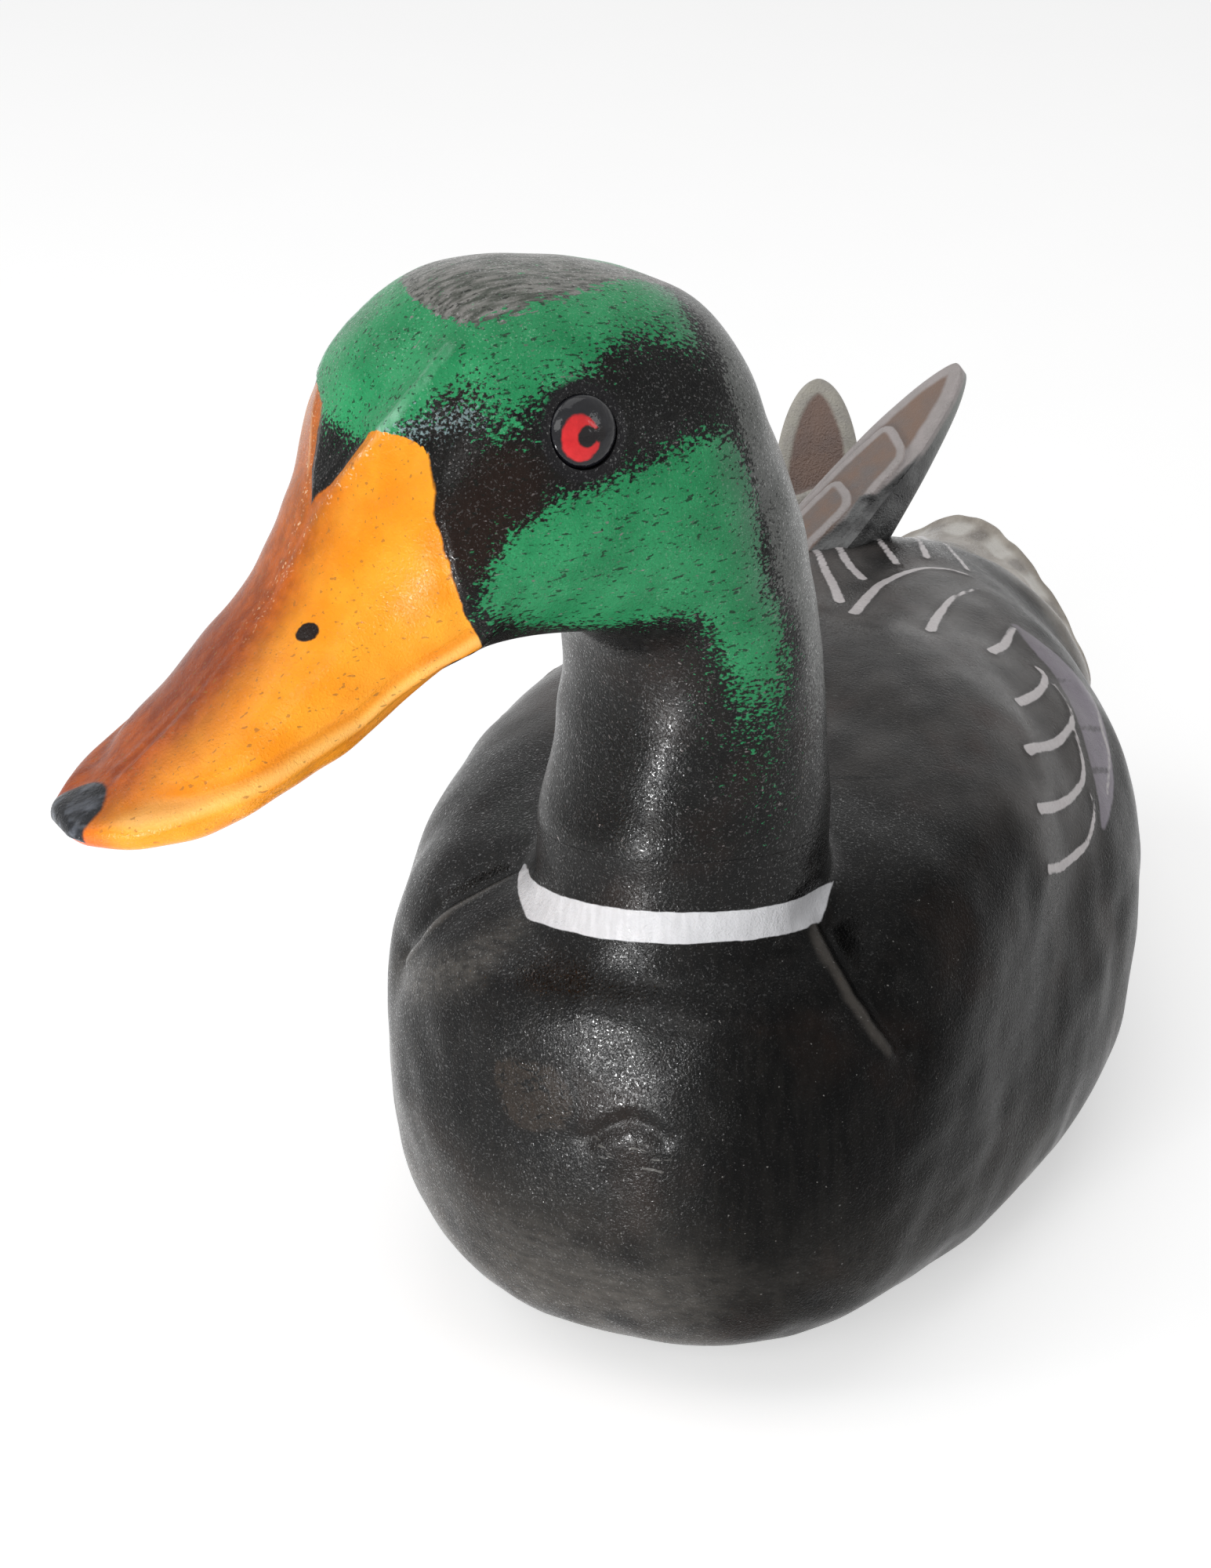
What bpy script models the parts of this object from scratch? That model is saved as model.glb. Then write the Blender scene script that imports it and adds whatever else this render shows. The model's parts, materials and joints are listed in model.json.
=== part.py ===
"""Floating drake decoy: a hollowed, hand-carved wooden body with a glued-on head block, inlaid eyes and wing
tips, an inset bottom board, a flush ballast pad and a swinging line ring in a well under the breast.

The duck looks along -Y, its left side is +X and +Z is up. The origin lies on the flat underside, in the
middle plane. All the sizes below are millimetres, and MM turns them into metres where meshes are made.
"""

import math

import bmesh
import bpy
import numpy as np
from mathutils import Matrix, Vector
from mathutils.bvhtree import BVHTree

MM = 0.001
GLUE_GAP = 0.3  # between two faces that touch
FIT_GAP = 0.2  # round a pin, a screw or an inlay

# A station is one slanted cross-section of a carved block. Its inner and outer ends are (forward, height)
# points in the middle plane. Width is half the full width, lean moves the widest place towards the outer
# end, and boxiness is the exponent of the superellipse: 2 is an ellipse.
#   inner fwd, inner up, outer fwd, outer up, width, lean, boxiness
BODY_STATIONS = [
    (101.9, 121, 45.3, 116, 28.3, 0.00, 2.0),  # neck stump, trimmed at the glue joint
    (102.2, 110, 45, 109, 28.6, 0.00, 2.0),
    (103.8, 96, 40, 107.8, 31.5, 0.00, 2.0),
    (110, 86, 21, 109.5, 49.5, 0.02, 2.3),  # shoulders
    (114, 62, 0, 112, 60.5, 0.05, 2.4),  # breast
    (114.5, 34, -21, 112.5, 65, 0.08, 2.45),
    (101, 8, -41, 109, 68, 0.03, 2.45),
    (54, -4, -60, 106, 74.5, -0.10, 2.4),  # belly and back
    (3, -8, -80, 102, 73.5, -0.18, 2.4),
    (-48, -5, -99, 97, 55.5, -0.12, 2.3),
    (-87, 17, -114, 91, 47, 0.00, 2.3),  # rump
    (-110, 39, -126, 85, 42, 0.00, 2.3),
    (-124, 54, -135, 82, 40, 0.00, 2.5),  # tail fan
    (-134, 66, -141, 83, 38.5, 0.00, 2.6),
]
# The head's stations are measured forward of the neck axis.
HEAD_STATIONS = [
    (25, 106, -32.8, 106, 29.5, 0.00, 2.0),  # neck, trimmed at the glue joint
    (21.5, 124, -32.5, 122, 28, 0.00, 2.0),
    (18, 146, -30.5, 146, 27.4, 0.00, 2.0),
    (20, 160, -27, 168, 28.5, 0.00, 2.0),  # throat and nape
    (29, 165.5, -18.5, 195, 31, 0.00, 2.1),
    (39.5, 166, -3, 222, 33.4, 0.00, 2.1),  # jaw and crown
    (48, 164.5, 36, 233.5, 33, 0.00, 2.1),
    (56, 159, 60, 222, 29.3, 0.00, 2.1),  # forehead
    (63, 153, 70.8, 198.5, 22.8, 0.00, 2.1),  # root of the bill
    (76, 147, 79.6, 181.3, 21.2, 0.00, 2.2),
    (94, 142, 97.2, 163, 20.6, 0.00, 2.3),
    (110, 140, 112, 151.5, 15.5, 0.00, 2.3),
    (121.5, 140.8, 123, 147, 6.5, 0.00, 2.3),  # tip of the bill
]
BODY_SPAN_STEPS, HEAD_SPAN_STEPS = 3, 4  # sections from one station to the next
BODY_SEGMENTS = 48
HEAD_SEGMENTS = 34

NECK_FORWARD = 77  # the axis that the head is turned about, forward of the origin
NECK_BASE = (3.0, 73.5)  # middle of the neck at the glue joint: side, forward
HEAD_TURN = -41.5  # degrees, towards the duck's right
SEAM_HEIGHT = 113.5
SEAM_TILT = 12.0  # degrees
STUMP_RADIUS = 33.0
SEAM_TILT_TOWARDS = 20.0  # degrees from straight ahead towards the duck's left: the joint's high side

# Carved relief: (depth, half-width) of each groove or step.
SHOULDER_GROOVE = (2.6, 8.0)
SHOULDER_PATH = [(34, 88, 103), (43, 90, 92), (51, 87, 80), (56, 82, 75)]  # side, forward, up
BILL_STEP = 0.9
BILL_EDGE = [(150, 50), (176, 51), (181, 55), (196, 59), (207, 60), (214, 66), (240, 90)]  # height, forward
BILL_NOTCH = (17.0, 12.0)  # half-width and depth of the forehead's point between the bill's two lobes
MOUTH_GROOVE = (0.8, 2.0)
MOUTH_PATH = [(53, 178), (72, 164), (95, 156), (112, 151)]  # forward, height
FAN_ROUND = 21.0  # how far the middle of the tail fan reaches behind its corners
FAN_START = -108.0
FAN_ARCH = 22.0  # how far its corners hang below the middle
FAN_POINT = 1.5  # 1 is a straight-edged wedge, 2 is a round fan
FAN_FEATHERS = 7
FAN_GROOVE = 0.9

DOWEL_RADIUS, DOWEL_BOTTOM, DOWEL_TOP = 6.0, 86.0, 142.0

EYE_FORWARD, EYE_HEIGHT = 33.6, 212.7
EYE_RADIUS, EYE_DOME, EYE_SEAT = 6.4, 2.6, 1.6
EYE_STEM_RADIUS, EYE_STEM = 2.0, 7.0

BOARD_CENTRE, BOARD_LENGTH, BOARD_WIDTH, BOARD_THICK = 2.0, 100.0, 64.0, 10.0
BOARD_BOXINESS = 2.6
BOARD_LEDGE = 10.0
HOLLOW_LEVELS = [(8, 0.0), (22, 6.0), (42, 16.0), (60, 14.0), (74, 4.0), (80, -10.0)]  # height, growth
PAD_CENTRE, PAD_LENGTH, PAD_WIDTH, PAD_THICK = -20.0, 28.0, 36.0, 5.0
PAD_BOXINESS = 4.0
SCREW_RADIUS, SCREW_HEAD_RADIUS, SCREW_LENGTH = 1.5, 3.0, 17.0
PAD_SCREW_LENGTH = 8.6
SCREW_SLOT = (0.8, 0.6)  # width, depth
SCREW_SINK = 0.2  # how far the heads lie inside the flat underside

WELL_FORWARD, WELL_RADIUS, WELL_DEPTH = 70.0, 13.0, 27.0
STAPLE_RADIUS, STAPLE_WIRE, STAPLE_HEIGHT, STAPLE_SHANK = 3.6, 1.0, 20.6, 15.0
RING_RADIUS, RING_WIRE = 6.5, 0.9

# Wing-tip inlays: root and tip of the upper face's middle line as (side, forward, up).
NEAR_TIP_ROOT, NEAR_TIP_END = (-28.5, -80, 93), (4, -124, 137)
FAR_TIP_ROOT, FAR_TIP_END = (-26, -112, 86), (-33, -133, 125)
TIP_WIDTH, TIP_EDGE, TIP_DEPTH = 11.0, 3.0, 20.0
TIP_TENON = 10.0
TIP_LAYERS = [(0.28, 1.0), (0.60, 1.0)]  # where each overlapping feather ends, and its thickness
# Its cross-section: (across, lift), as shares of the half-width and of the thickness above and below.
TIP_SECTION = [(1, 0), (0.72, 1), (0, 1.15), (-0.72, 1), (-1, 0), (-0.8, -1), (0, -1), (0.8, -1)]


def clear_scene():
    for obj in list(bpy.data.objects):
        bpy.data.objects.remove(obj, do_unlink=True)


def paint(name, colour, roughness, metallic=0.0):
    material = bpy.data.materials.new(name)
    material.use_nodes = True
    shader = material.node_tree.nodes["Principled BSDF"]
    shader.inputs["Base Color"].default_value = (*colour, 1.0)
    shader.inputs["Roughness"].default_value = roughness
    shader.inputs["Metallic"].default_value = metallic
    material.diffuse_color = (*colour, 1.0)
    return material


def make_object(name, points, faces, material=None, smooth=True):
    """An object from millimetre points and faces, with its normals turned outwards."""
    mesh = bpy.data.meshes.new(name)
    mesh.from_pydata([tuple(MM * c for c in p) for p in points], [], faces)
    work = bmesh.new()
    work.from_mesh(mesh)
    bmesh.ops.remove_doubles(work, verts=work.verts, dist=1e-7)
    bmesh.ops.recalc_face_normals(work, faces=work.faces)
    work.to_mesh(mesh)
    work.free()
    for face in mesh.polygons:
        face.use_smooth = smooth
    obj = bpy.data.objects.new(name, mesh)
    bpy.context.collection.objects.link(obj)
    if material:
        mesh.materials.append(material)
    return obj


def boolean(target, tool, operation="DIFFERENCE"):
    """Applies the Boolean at once, so that later cuts and shading work on plain meshes."""
    modifier = target.modifiers.new(tool.name, "BOOLEAN")
    modifier.operation = operation
    modifier.solver = "EXACT"
    modifier.object = tool
    graph = bpy.context.evaluated_depsgraph_get()
    mesh = bpy.data.meshes.new_from_object(target.evaluated_get(graph))
    target.modifiers.clear()
    target.data = mesh


def drop(obj):
    bpy.data.objects.remove(obj, do_unlink=True)


def cut(target, tool):
    boolean(target, tool)
    drop(tool)


def shade_by_angle(obj, degrees=35):
    for face in obj.data.polygons:
        face.use_smooth = True
    obj.data.set_sharp_from_angle(angle=math.radians(degrees))


def catmull_rom(rows, per_span):
    """Rows along a smooth curve through the given rows."""
    rows = np.asarray(rows, float)
    first, last = 2 * rows[0] - rows[1], 2 * rows[-1] - rows[-2]
    padded = np.vstack([first, rows, last])
    result = []
    for a, b, c, d in zip(padded, padded[1:], padded[2:], padded[3:]):
        for t in np.arange(per_span) / per_span:
            bend = (2 * a - 5 * b + 4 * c - d) * t**2 + (3 * b - a - 3 * c + d) * t**3
            result.append(b + ((c - a) * t + bend) / 2)
    result.append(rows[-1])
    return np.array(result)


def section(station, segments):
    """One closed ring of points (side, -forward, up) round a station."""
    inner, outer = np.array(station[0:2]), np.array(station[2:4])
    width, lean, boxiness = station[4:7]
    angle = np.linspace(0, 2 * math.pi, segments, endpoint=False)
    along = np.sign(np.cos(angle)) * np.abs(np.cos(angle)) ** (2 / boxiness)
    side = np.sign(np.sin(angle)) * np.abs(np.sin(angle)) ** (2 / boxiness)
    along = along + lean * (1 - along**2)
    forward, up = ((inner + outer)[:, None] + (outer - inner)[:, None] * along) / 2
    return np.stack([width * side, -forward, up], axis=1)


def skin(rings):
    """Points and faces of a closed tube over rings, with a fan to a middle point at each end."""
    count, segments, _ = rings.shape
    points = list(rings.reshape(-1, 3)) + [rings[0].mean(axis=0), rings[-1].mean(axis=0)]
    faces = []
    for i in range(count - 1):
        for j in range(segments):
            k = (j + 1) % segments
            faces.append((i * segments + j, i * segments + k, (i + 1) * segments + k, (i + 1) * segments + j))
    for base, middle in ((0, len(points) - 2), ((count - 1) * segments, len(points) - 1)):
        faces += [(middle, base + j, base + (j + 1) % segments) for j in range(segments)]
    return points, faces


def loft(stations, per_span, segments):
    return np.array([section(s, segments) for s in catmull_rom(stations, per_span)])


def surface_normals(rings):
    """Outward directions at the points of a loft."""
    along = np.gradient(rings, axis=0)
    around = np.roll(rings, -1, axis=1) - np.roll(rings, 1, axis=1)
    normals = np.cross(around, along)
    normals /= np.linalg.norm(normals, axis=2, keepdims=True) + 1e-12
    outwards = rings - rings.mean(axis=1, keepdims=True)
    return normals * np.sign((normals * outwards).sum(axis=2).mean())


def distance_to_path(points, path):
    """Distance from each point to a bent line, in any number of dimensions."""
    best = np.full(points.shape[:-1], np.inf)
    for start, end in zip(np.array(path, float), np.array(path, float)[1:]):
        step = end - start
        t = np.clip(((points - start) @ step) / (step @ step), 0, 1)
        best = np.minimum(best, np.linalg.norm(points - start - t[..., None] * step, axis=-1))
    return best


def smooth_step(low, high, value):
    t = np.clip((value - low) / (high - low), 0, 1)
    return t * t * (3 - 2 * t)


def carve_body(rings):
    """Shoulder grooves on both sides, a neck stump off the middle, and a rounded, feathered tail fan."""
    side, forward = rings[..., 0], -rings[..., 1]
    mirrored = np.stack([np.abs(side), forward, rings[..., 2]], axis=-1)
    depth, reach = SHOULDER_GROOVE
    groove = depth * np.exp(-((distance_to_path(mirrored, SHOULDER_PATH) / reach) ** 2))
    rings = rings - surface_normals(rings) * groove[..., None]
    near_neck = 1 - smooth_step(36, 60, np.hypot(side, forward - NECK_FORWARD))
    rings[..., 0] += NECK_BASE[0] * smooth_step(90, 109, rings[..., 2]) * near_neck
    fan = smooth_step(FAN_START, BODY_STATIONS[-1][2], forward)
    half_width = np.abs(side).max(axis=1, keepdims=True)
    across = np.abs(side / half_width) ** FAN_POINT
    rings[..., 1] += FAN_ROUND * fan * (1 - across)
    rings[..., 2] -= FAN_ARCH * fan * across
    valley = np.abs(np.cos(0.5 * math.pi * FAN_FEATHERS * side / half_width)) ** 4
    upper = smooth_step(0.2, 0.6, np.cos(np.linspace(0, 2 * math.pi, BODY_SEGMENTS, endpoint=False)))
    rings[..., 2] -= FAN_GROOVE * fan * valley * upper
    return rings


def carve_head(rings):
    """A step down from the cheek to the bill, and the mouth line along the bill's side."""
    side, forward, up = rings[..., 0], -rings[..., 1], rings[..., 2]
    notch_width, notch_depth = BILL_NOTCH
    edge = np.interp(up, *zip(*BILL_EDGE)) + notch_depth * np.clip(1 - np.abs(side) / notch_width, 0, 1)
    on_bill = smooth_step(-1.5, 1.5, forward - edge)
    profile = np.stack([forward, up], axis=-1)
    depth, reach = MOUTH_GROOVE
    mouth = depth * np.exp(-((distance_to_path(profile, MOUTH_PATH) / reach) ** 2))
    mouth = mouth * smooth_step(6, 12, np.abs(side))
    return rings - surface_normals(rings) * (BILL_STEP * on_bill + mouth)[..., None]


def revolve(name, profile, material=None, segments=32):
    """A solid of revolution about Z from (radius, height) points. The profile starts and ends on the axis."""
    points, rows = [], []
    for radius, height in profile:
        if radius == 0:
            rows.append([len(points)] * segments)
            points.append((0, 0, height))
        else:
            rows.append(list(range(len(points), len(points) + segments)))
            for j in range(segments):
                turn = 2 * math.pi * j / segments
                points.append((radius * math.cos(turn), radius * math.sin(turn), height))
    faces = []
    for low, high in zip(rows, rows[1:]):
        for j in range(segments):
            k = (j + 1) % segments
            corners = [low[j], low[k], high[k], high[j]]
            corners = list(dict.fromkeys(corners))
            if len(corners) > 2:
                faces.append(tuple(corners))
    return make_object(name, points, faces, material)


def torus(name, radius, wire, material=None, turns=28, segments=8):
    """A ring round the Y axis."""
    points, faces = [], []
    for i in range(turns):
        a = 2 * math.pi * i / turns
        for j in range(segments):
            b = 2 * math.pi * j / segments
            reach = radius + wire * math.cos(b)
            points.append((reach * math.cos(a), wire * math.sin(b), reach * math.sin(a)))
            i2, j2 = (i + 1) % turns, (j + 1) % segments
            faces.append((i * segments + j, i2 * segments + j, i2 * segments + j2, i * segments + j2))
    return make_object(name, points, faces, material)


def oval(length, width, boxiness, height, centre, segments=48):
    """A ring of points round a superellipse lying flat."""
    angle = np.linspace(0, 2 * math.pi, segments, endpoint=False)
    forward = centre + length / 2 * np.sign(np.cos(angle)) * np.abs(np.cos(angle)) ** (2 / boxiness)
    side = width / 2 * np.sign(np.sin(angle)) * np.abs(np.sin(angle)) ** (2 / boxiness)
    return np.stack([side, -forward, np.full(segments, float(height))], axis=1)


def oval_block(name, levels, material=None):
    """A solid over flat ovals, each given as (length, width, height), all centred on the bottom board."""
    rings = np.array([oval(a, b, BOARD_BOXINESS, z, BOARD_CENTRE) for a, b, z in levels])
    return make_object(name, *skin(rings), material)


def pad_block(name, levels, material=None):
    """The ballast pad's rounded rectangle, over (growth, height) levels."""
    rings = [oval(PAD_LENGTH + 2 * g, PAD_WIDTH + 2 * g, PAD_BOXINESS, z, PAD_CENTRE, 40) for g, z in levels]
    return make_object(name, *skin(np.array(rings)), material)


def place(obj, matrix):
    """Moves the mesh itself. The matrix's translation is in millimetres."""
    matrix = matrix.copy()
    matrix.translation = matrix.translation * MM
    obj.data.transform(matrix)
    return obj


def trim(obj, point, normal, keep_above):
    """Cuts the object on a plane, keeps one side and closes the cut."""
    work = bmesh.new()
    work.from_mesh(obj.data)
    cut_edges = bmesh.ops.bisect_plane(
        work,
        geom=work.verts[:] + work.edges[:] + work.faces[:],
        plane_co=Vector(point) * MM,
        plane_no=normal,
        clear_inner=keep_above,
        clear_outer=not keep_above,
    )["geom_cut"]
    edges = [e for e in cut_edges if isinstance(e, bmesh.types.BMEdge)]
    bmesh.ops.contextual_create(work, geom=edges)
    bmesh.ops.recalc_face_normals(work, faces=work.faces)
    work.to_mesh(obj.data)
    work.free()


def seam_plane(offset):
    """Point and normal of the glue joint, moved along its normal."""
    towards, tilt = math.radians(SEAM_TILT_TOWARDS), math.radians(SEAM_TILT)
    level = Vector((math.sin(towards), -math.cos(towards), 0))
    normal = Vector((0, 0, 1)) * math.cos(tilt) - level * math.sin(tilt)
    return Vector((NECK_BASE[0], -NECK_BASE[1], SEAM_HEIGHT)) + normal * offset, normal


def stump_cutter():
    """All that stands above the glue joint within reach of the neck, and none of the back behind it."""
    point, normal = seam_plane(-GLUE_GAP / 2)
    cutter = revolve("stump", [(0, 0), (STUMP_RADIUS, 0), (STUMP_RADIUS, 40), (0, 40)])
    return place(cutter, Matrix.Translation(point) @ normal.to_track_quat("Z", "Y").to_matrix().to_4x4())


def head_frame():
    return Matrix.Translation((0, -NECK_FORWARD, 0)) @ Matrix.Rotation(math.radians(HEAD_TURN), 4, "Z")


def screw_profile(length, head_radius, grow=0.0):
    """A countersunk wood screw standing on its head, or with grow, the hole for it."""
    shank = SCREW_RADIUS + grow
    head = head_radius + grow
    cone = head - shank
    top = length + grow
    face = SCREW_SINK if grow == 0 else -1.0
    return [(0, face), (head, face), (head, 0.6), (shank, 0.6 + cone), (shank, top - 2), (0, top)]


def countersunk_screw(name, side, forward, length, steel):
    screw = revolve(name, screw_profile(length, SCREW_HEAD_RADIUS), steel, 16)
    width, depth = SCREW_SLOT
    slot = bar(name + "_slot", (SCREW_HEAD_RADIUS * 3, width, 2 * depth), (0, 0, SCREW_SINK))
    cut(screw, slot)
    shade_by_angle(screw)
    return place(screw, Matrix.Translation((side, -forward, 0)))


def screw_hole(side, forward, length):
    hole = revolve("screw_hole", screw_profile(length, SCREW_HEAD_RADIUS, FIT_GAP), segments=16)
    return place(hole, Matrix.Translation((side, -forward, 0)))


def bar(name, size, centre):
    corners = [(x, y, z) for x in (-0.5, 0.5) for y in (-0.5, 0.5) for z in (-0.5, 0.5)]
    points = [tuple(c + s * k for c, s, k in zip(centre, size, corner)) for corner in corners]
    faces = [(0, 1, 3, 2), (4, 6, 7, 5), (0, 4, 5, 1), (2, 3, 7, 6), (0, 2, 6, 4), (1, 5, 7, 3)]
    return make_object(name, points, faces)


def wing_tip(name, root, end, material=None, grow=0.0):
    """A pointed, stepped wing tip that tapers from a deep root, or with grow, the pocket for it."""
    root = Vector((root[0], -root[1], root[2]))
    end = Vector((end[0], -end[1], end[2]))
    axis = (end - root).normalized()
    across = axis.cross(Vector((0, 0, 1))).normalized()
    normal = across.cross(axis)
    length = (end - root).length + grow
    rows = []
    for u in np.linspace(-TIP_TENON - grow, length, 22):
        t = max(u, 0) / length
        half = (TIP_WIDTH + grow) * (1 - t**2.6) ** 0.62 + 0.4
        deep = (TIP_EDGE + (TIP_DEPTH - TIP_EDGE) * (1 - t)) + grow
        layer = sum(thick * (1 - smooth_step(stop, stop + 0.06, t)) for stop, thick in TIP_LAYERS)
        ring = []
        for v, w in TIP_SECTION:
            lift = (layer + grow) * w if w > 0 else deep * w
            ring.append(root + axis * u + across * (half * v) + normal * lift)
        rows.append([tuple(p) for p in ring])
    return make_object(name, *skin(np.array(rows)), material)


def build():
    clear_scene()
    black = paint("black_lacquered_wood", (0.020, 0.018, 0.017), 0.32)
    green = paint("green_lacquered_wood", (0.030, 0.220, 0.085), 0.32)
    grey = paint("grey_lacquered_wood", (0.170, 0.150, 0.135), 0.40)
    bare = paint("bare_wood", (0.360, 0.230, 0.120), 0.70)
    sealed = paint("sealed_dark_wood", (0.060, 0.045, 0.035), 0.55)
    red = paint("red_glass", (0.500, 0.015, 0.015), 0.08)
    lead = paint("cast_lead", (0.190, 0.195, 0.205), 0.50, 0.9)
    steel = paint("zinc_steel", (0.520, 0.530, 0.540), 0.35, 1.0)
    brass = paint("brass_wire", (0.610, 0.440, 0.170), 0.30, 1.0)

    rings = carve_body(loft(BODY_STATIONS, BODY_SPAN_STEPS, BODY_SEGMENTS))
    body = make_object("body", *skin(rings), black)
    cut(body, stump_cutter())
    trim(body, (0, 0, 0), Vector((0, 0, 1)), keep_above=True)

    rings = carve_head(loft(HEAD_STATIONS, HEAD_SPAN_STEPS, HEAD_SEGMENTS))
    head = make_object("head_and_neck", *skin(rings), green)
    place(head, head_frame())
    point, normal = seam_plane(GLUE_GAP / 2)
    trim(head, point, normal, keep_above=True)

    dowel_profile = [(0, DOWEL_BOTTOM), (DOWEL_RADIUS - 1, DOWEL_BOTTOM), (DOWEL_RADIUS, DOWEL_BOTTOM + 1)]
    dowel_profile += [(DOWEL_RADIUS, DOWEL_TOP - 1), (DOWEL_RADIUS - 1, DOWEL_TOP), (0, DOWEL_TOP)]
    at_neck = Matrix.Translation((0, -NECK_FORWARD, 0))
    dowel = place(revolve("neck_dowel", dowel_profile, bare), at_neck)
    shade_by_angle(dowel)
    bore_radius = DOWEL_RADIUS + FIT_GAP
    bore_profile = [(0, DOWEL_BOTTOM - FIT_GAP), (bore_radius, DOWEL_BOTTOM - FIT_GAP)]
    bore_profile += [(bore_radius, DOWEL_TOP + FIT_GAP), (0, DOWEL_TOP + FIT_GAP)]
    bore = place(revolve("dowel_bore", bore_profile), at_neck)
    boolean(body, bore)
    cut(head, bore)

    add_eyes(head, red)
    add_bottom(body, sealed, lead, steel)
    add_line_tie(body, steel, brass)
    for name, root, end in (
        ("right_wing_tip", NEAR_TIP_ROOT, NEAR_TIP_END),
        ("left_wing_tip", FAR_TIP_ROOT, FAR_TIP_END),
    ):
        cut(body, wing_tip(name + "_pocket", root, end, grow=GLUE_GAP))
        shade_by_angle(wing_tip(name, root, end, grey))
    shade_by_angle(body)
    shade_by_angle(head)


def add_eyes(head, glass):
    """Domed eye beads on short stems, seated square to the head's surface."""
    tree = BVHTree.FromObject(head, bpy.context.evaluated_depsgraph_get())
    frame = head_frame()
    rim = EYE_RADIUS
    bead = [(0, -EYE_STEM), (EYE_STEM_RADIUS, -EYE_STEM), (EYE_STEM_RADIUS, -EYE_SEAT), (rim, -EYE_SEAT)]
    bead += [(rim * math.cos(a), EYE_DOME * math.sin(a)) for a in np.linspace(0, math.pi / 2, 7)[:-1]]
    bead += [(0, EYE_DOME)]
    stem = EYE_STEM_RADIUS + FIT_GAP
    seat = [(0, -EYE_STEM - FIT_GAP), (stem, -EYE_STEM - FIT_GAP), (stem, -EYE_SEAT - FIT_GAP)]
    seat += [(rim + FIT_GAP, -EYE_SEAT - FIT_GAP), (rim + FIT_GAP, 4 * EYE_DOME), (0, 4 * EYE_DOME)]
    for name, side in (("left_eye", 1), ("right_eye", -1)):
        far = frame @ Vector((side * 100, -EYE_FORWARD, EYE_HEIGHT))
        towards = frame.to_3x3() @ Vector((-side, 0, 0))
        spot, normal, _, _ = tree.ray_cast(far * MM, towards)
        turn = Matrix.Translation(spot / MM) @ normal.to_track_quat("Z", "Y").to_matrix().to_4x4()
        cut(head, place(revolve(name + "_seat", seat, segments=28), turn))
        shade_by_angle(place(revolve(name, bead, glass, 28), turn))


def add_bottom(body, wood, lead, steel):
    """The hollow in the body, the board that closes it, the ballast pad and all their screws."""
    ledge = 2 * BOARD_LEDGE
    levels = [(BOARD_LENGTH - ledge + 2 * g, BOARD_WIDTH - ledge + 2 * g, z) for z, g in HOLLOW_LEVELS]
    cut(body, oval_block("hollow", levels))
    long, wide = BOARD_LENGTH + 2 * GLUE_GAP, BOARD_WIDTH + 2 * GLUE_GAP
    cut(body, oval_block("rebate", [(long, wide, -5), (long, wide, BOARD_THICK + GLUE_GAP)]))

    board_levels = [(BOARD_LENGTH, BOARD_WIDTH, height) for height in (0, BOARD_THICK)]
    board = oval_block("bottom_board", board_levels, wood)
    pad = pad_block("ballast_pad", [(-0.8, SCREW_SINK), (0, 1.0), (-0.4, PAD_THICK)], lead)
    cut(board, pad_block("pad_recess", [(GLUE_GAP, -2), (GLUE_GAP, PAD_THICK + GLUE_GAP)]))

    for number, side in enumerate((-PAD_WIDTH / 4, PAD_WIDTH / 4), 1):
        hole = screw_hole(side, PAD_CENTRE, PAD_SCREW_LENGTH)
        boolean(board, hole)
        cut(pad, hole)
        countersunk_screw(f"pad_screw_{number}", side, PAD_CENTRE, PAD_SCREW_LENGTH, steel)
    ring = oval(BOARD_LENGTH - BOARD_LEDGE, BOARD_WIDTH - BOARD_LEDGE, BOARD_BOXINESS, 0, BOARD_CENTRE, 6)
    for number, (side, back, _) in enumerate(ring, 1):
        hole = screw_hole(side, -back, SCREW_LENGTH)
        boolean(board, hole)
        cut(body, hole)
        countersunk_screw(f"board_screw_{number}", side, -back, SCREW_LENGTH, steel)
    shade_by_angle(board)
    shade_by_angle(pad)


def add_line_tie(body, steel, brass):
    """A screw eye in the roof of a well under the breast, and the line ring that hangs and swings in it."""
    at_well = Matrix.Translation((0, -WELL_FORWARD, 0))
    roof = WELL_RADIUS - 3
    well = [(0, -5), (WELL_RADIUS, -5), (WELL_RADIUS, WELL_DEPTH - 3), (roof, WELL_DEPTH), (0, WELL_DEPTH)]
    cut(body, place(revolve("line_well", well), at_well))

    eye = torus("line_eye", STAPLE_RADIUS, STAPLE_WIRE, steel)
    place(eye, Matrix.Rotation(math.radians(90), 4, "Z"))
    low = STAPLE_RADIUS - STAPLE_WIRE * 0.4
    point = low + STAPLE_SHANK
    profile = [(0, low), (STAPLE_WIRE, low), (STAPLE_WIRE, point - 2), (0, point)]
    shank = revolve("shank", profile, segments=16)
    boolean(eye, shank, "UNION")
    drop(shank)
    place(eye, Matrix.Translation((0, -WELL_FORWARD, STAPLE_HEIGHT)))
    shade_by_angle(eye, 50)
    wire = STAPLE_WIRE + FIT_GAP
    start, top = STAPLE_HEIGHT + STAPLE_RADIUS, STAPLE_HEIGHT + point + FIT_GAP
    pilot = revolve("pilot", [(0, start), (wire, start), (wire, top), (0, top)], segments=16)
    cut(body, place(pilot, at_well))

    # The ring's wire rests on the lowest place inside the eye, and swings there.
    pivot = STAPLE_HEIGHT - STAPLE_RADIUS + STAPLE_WIRE + RING_WIRE + 0.1
    ring = torus("line_ring", RING_RADIUS, RING_WIRE, brass)
    place(ring, Matrix.Translation((0, 0, -RING_RADIUS)))
    ring.location = Vector((0, -WELL_FORWARD, pivot)) * MM


build()
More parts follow.
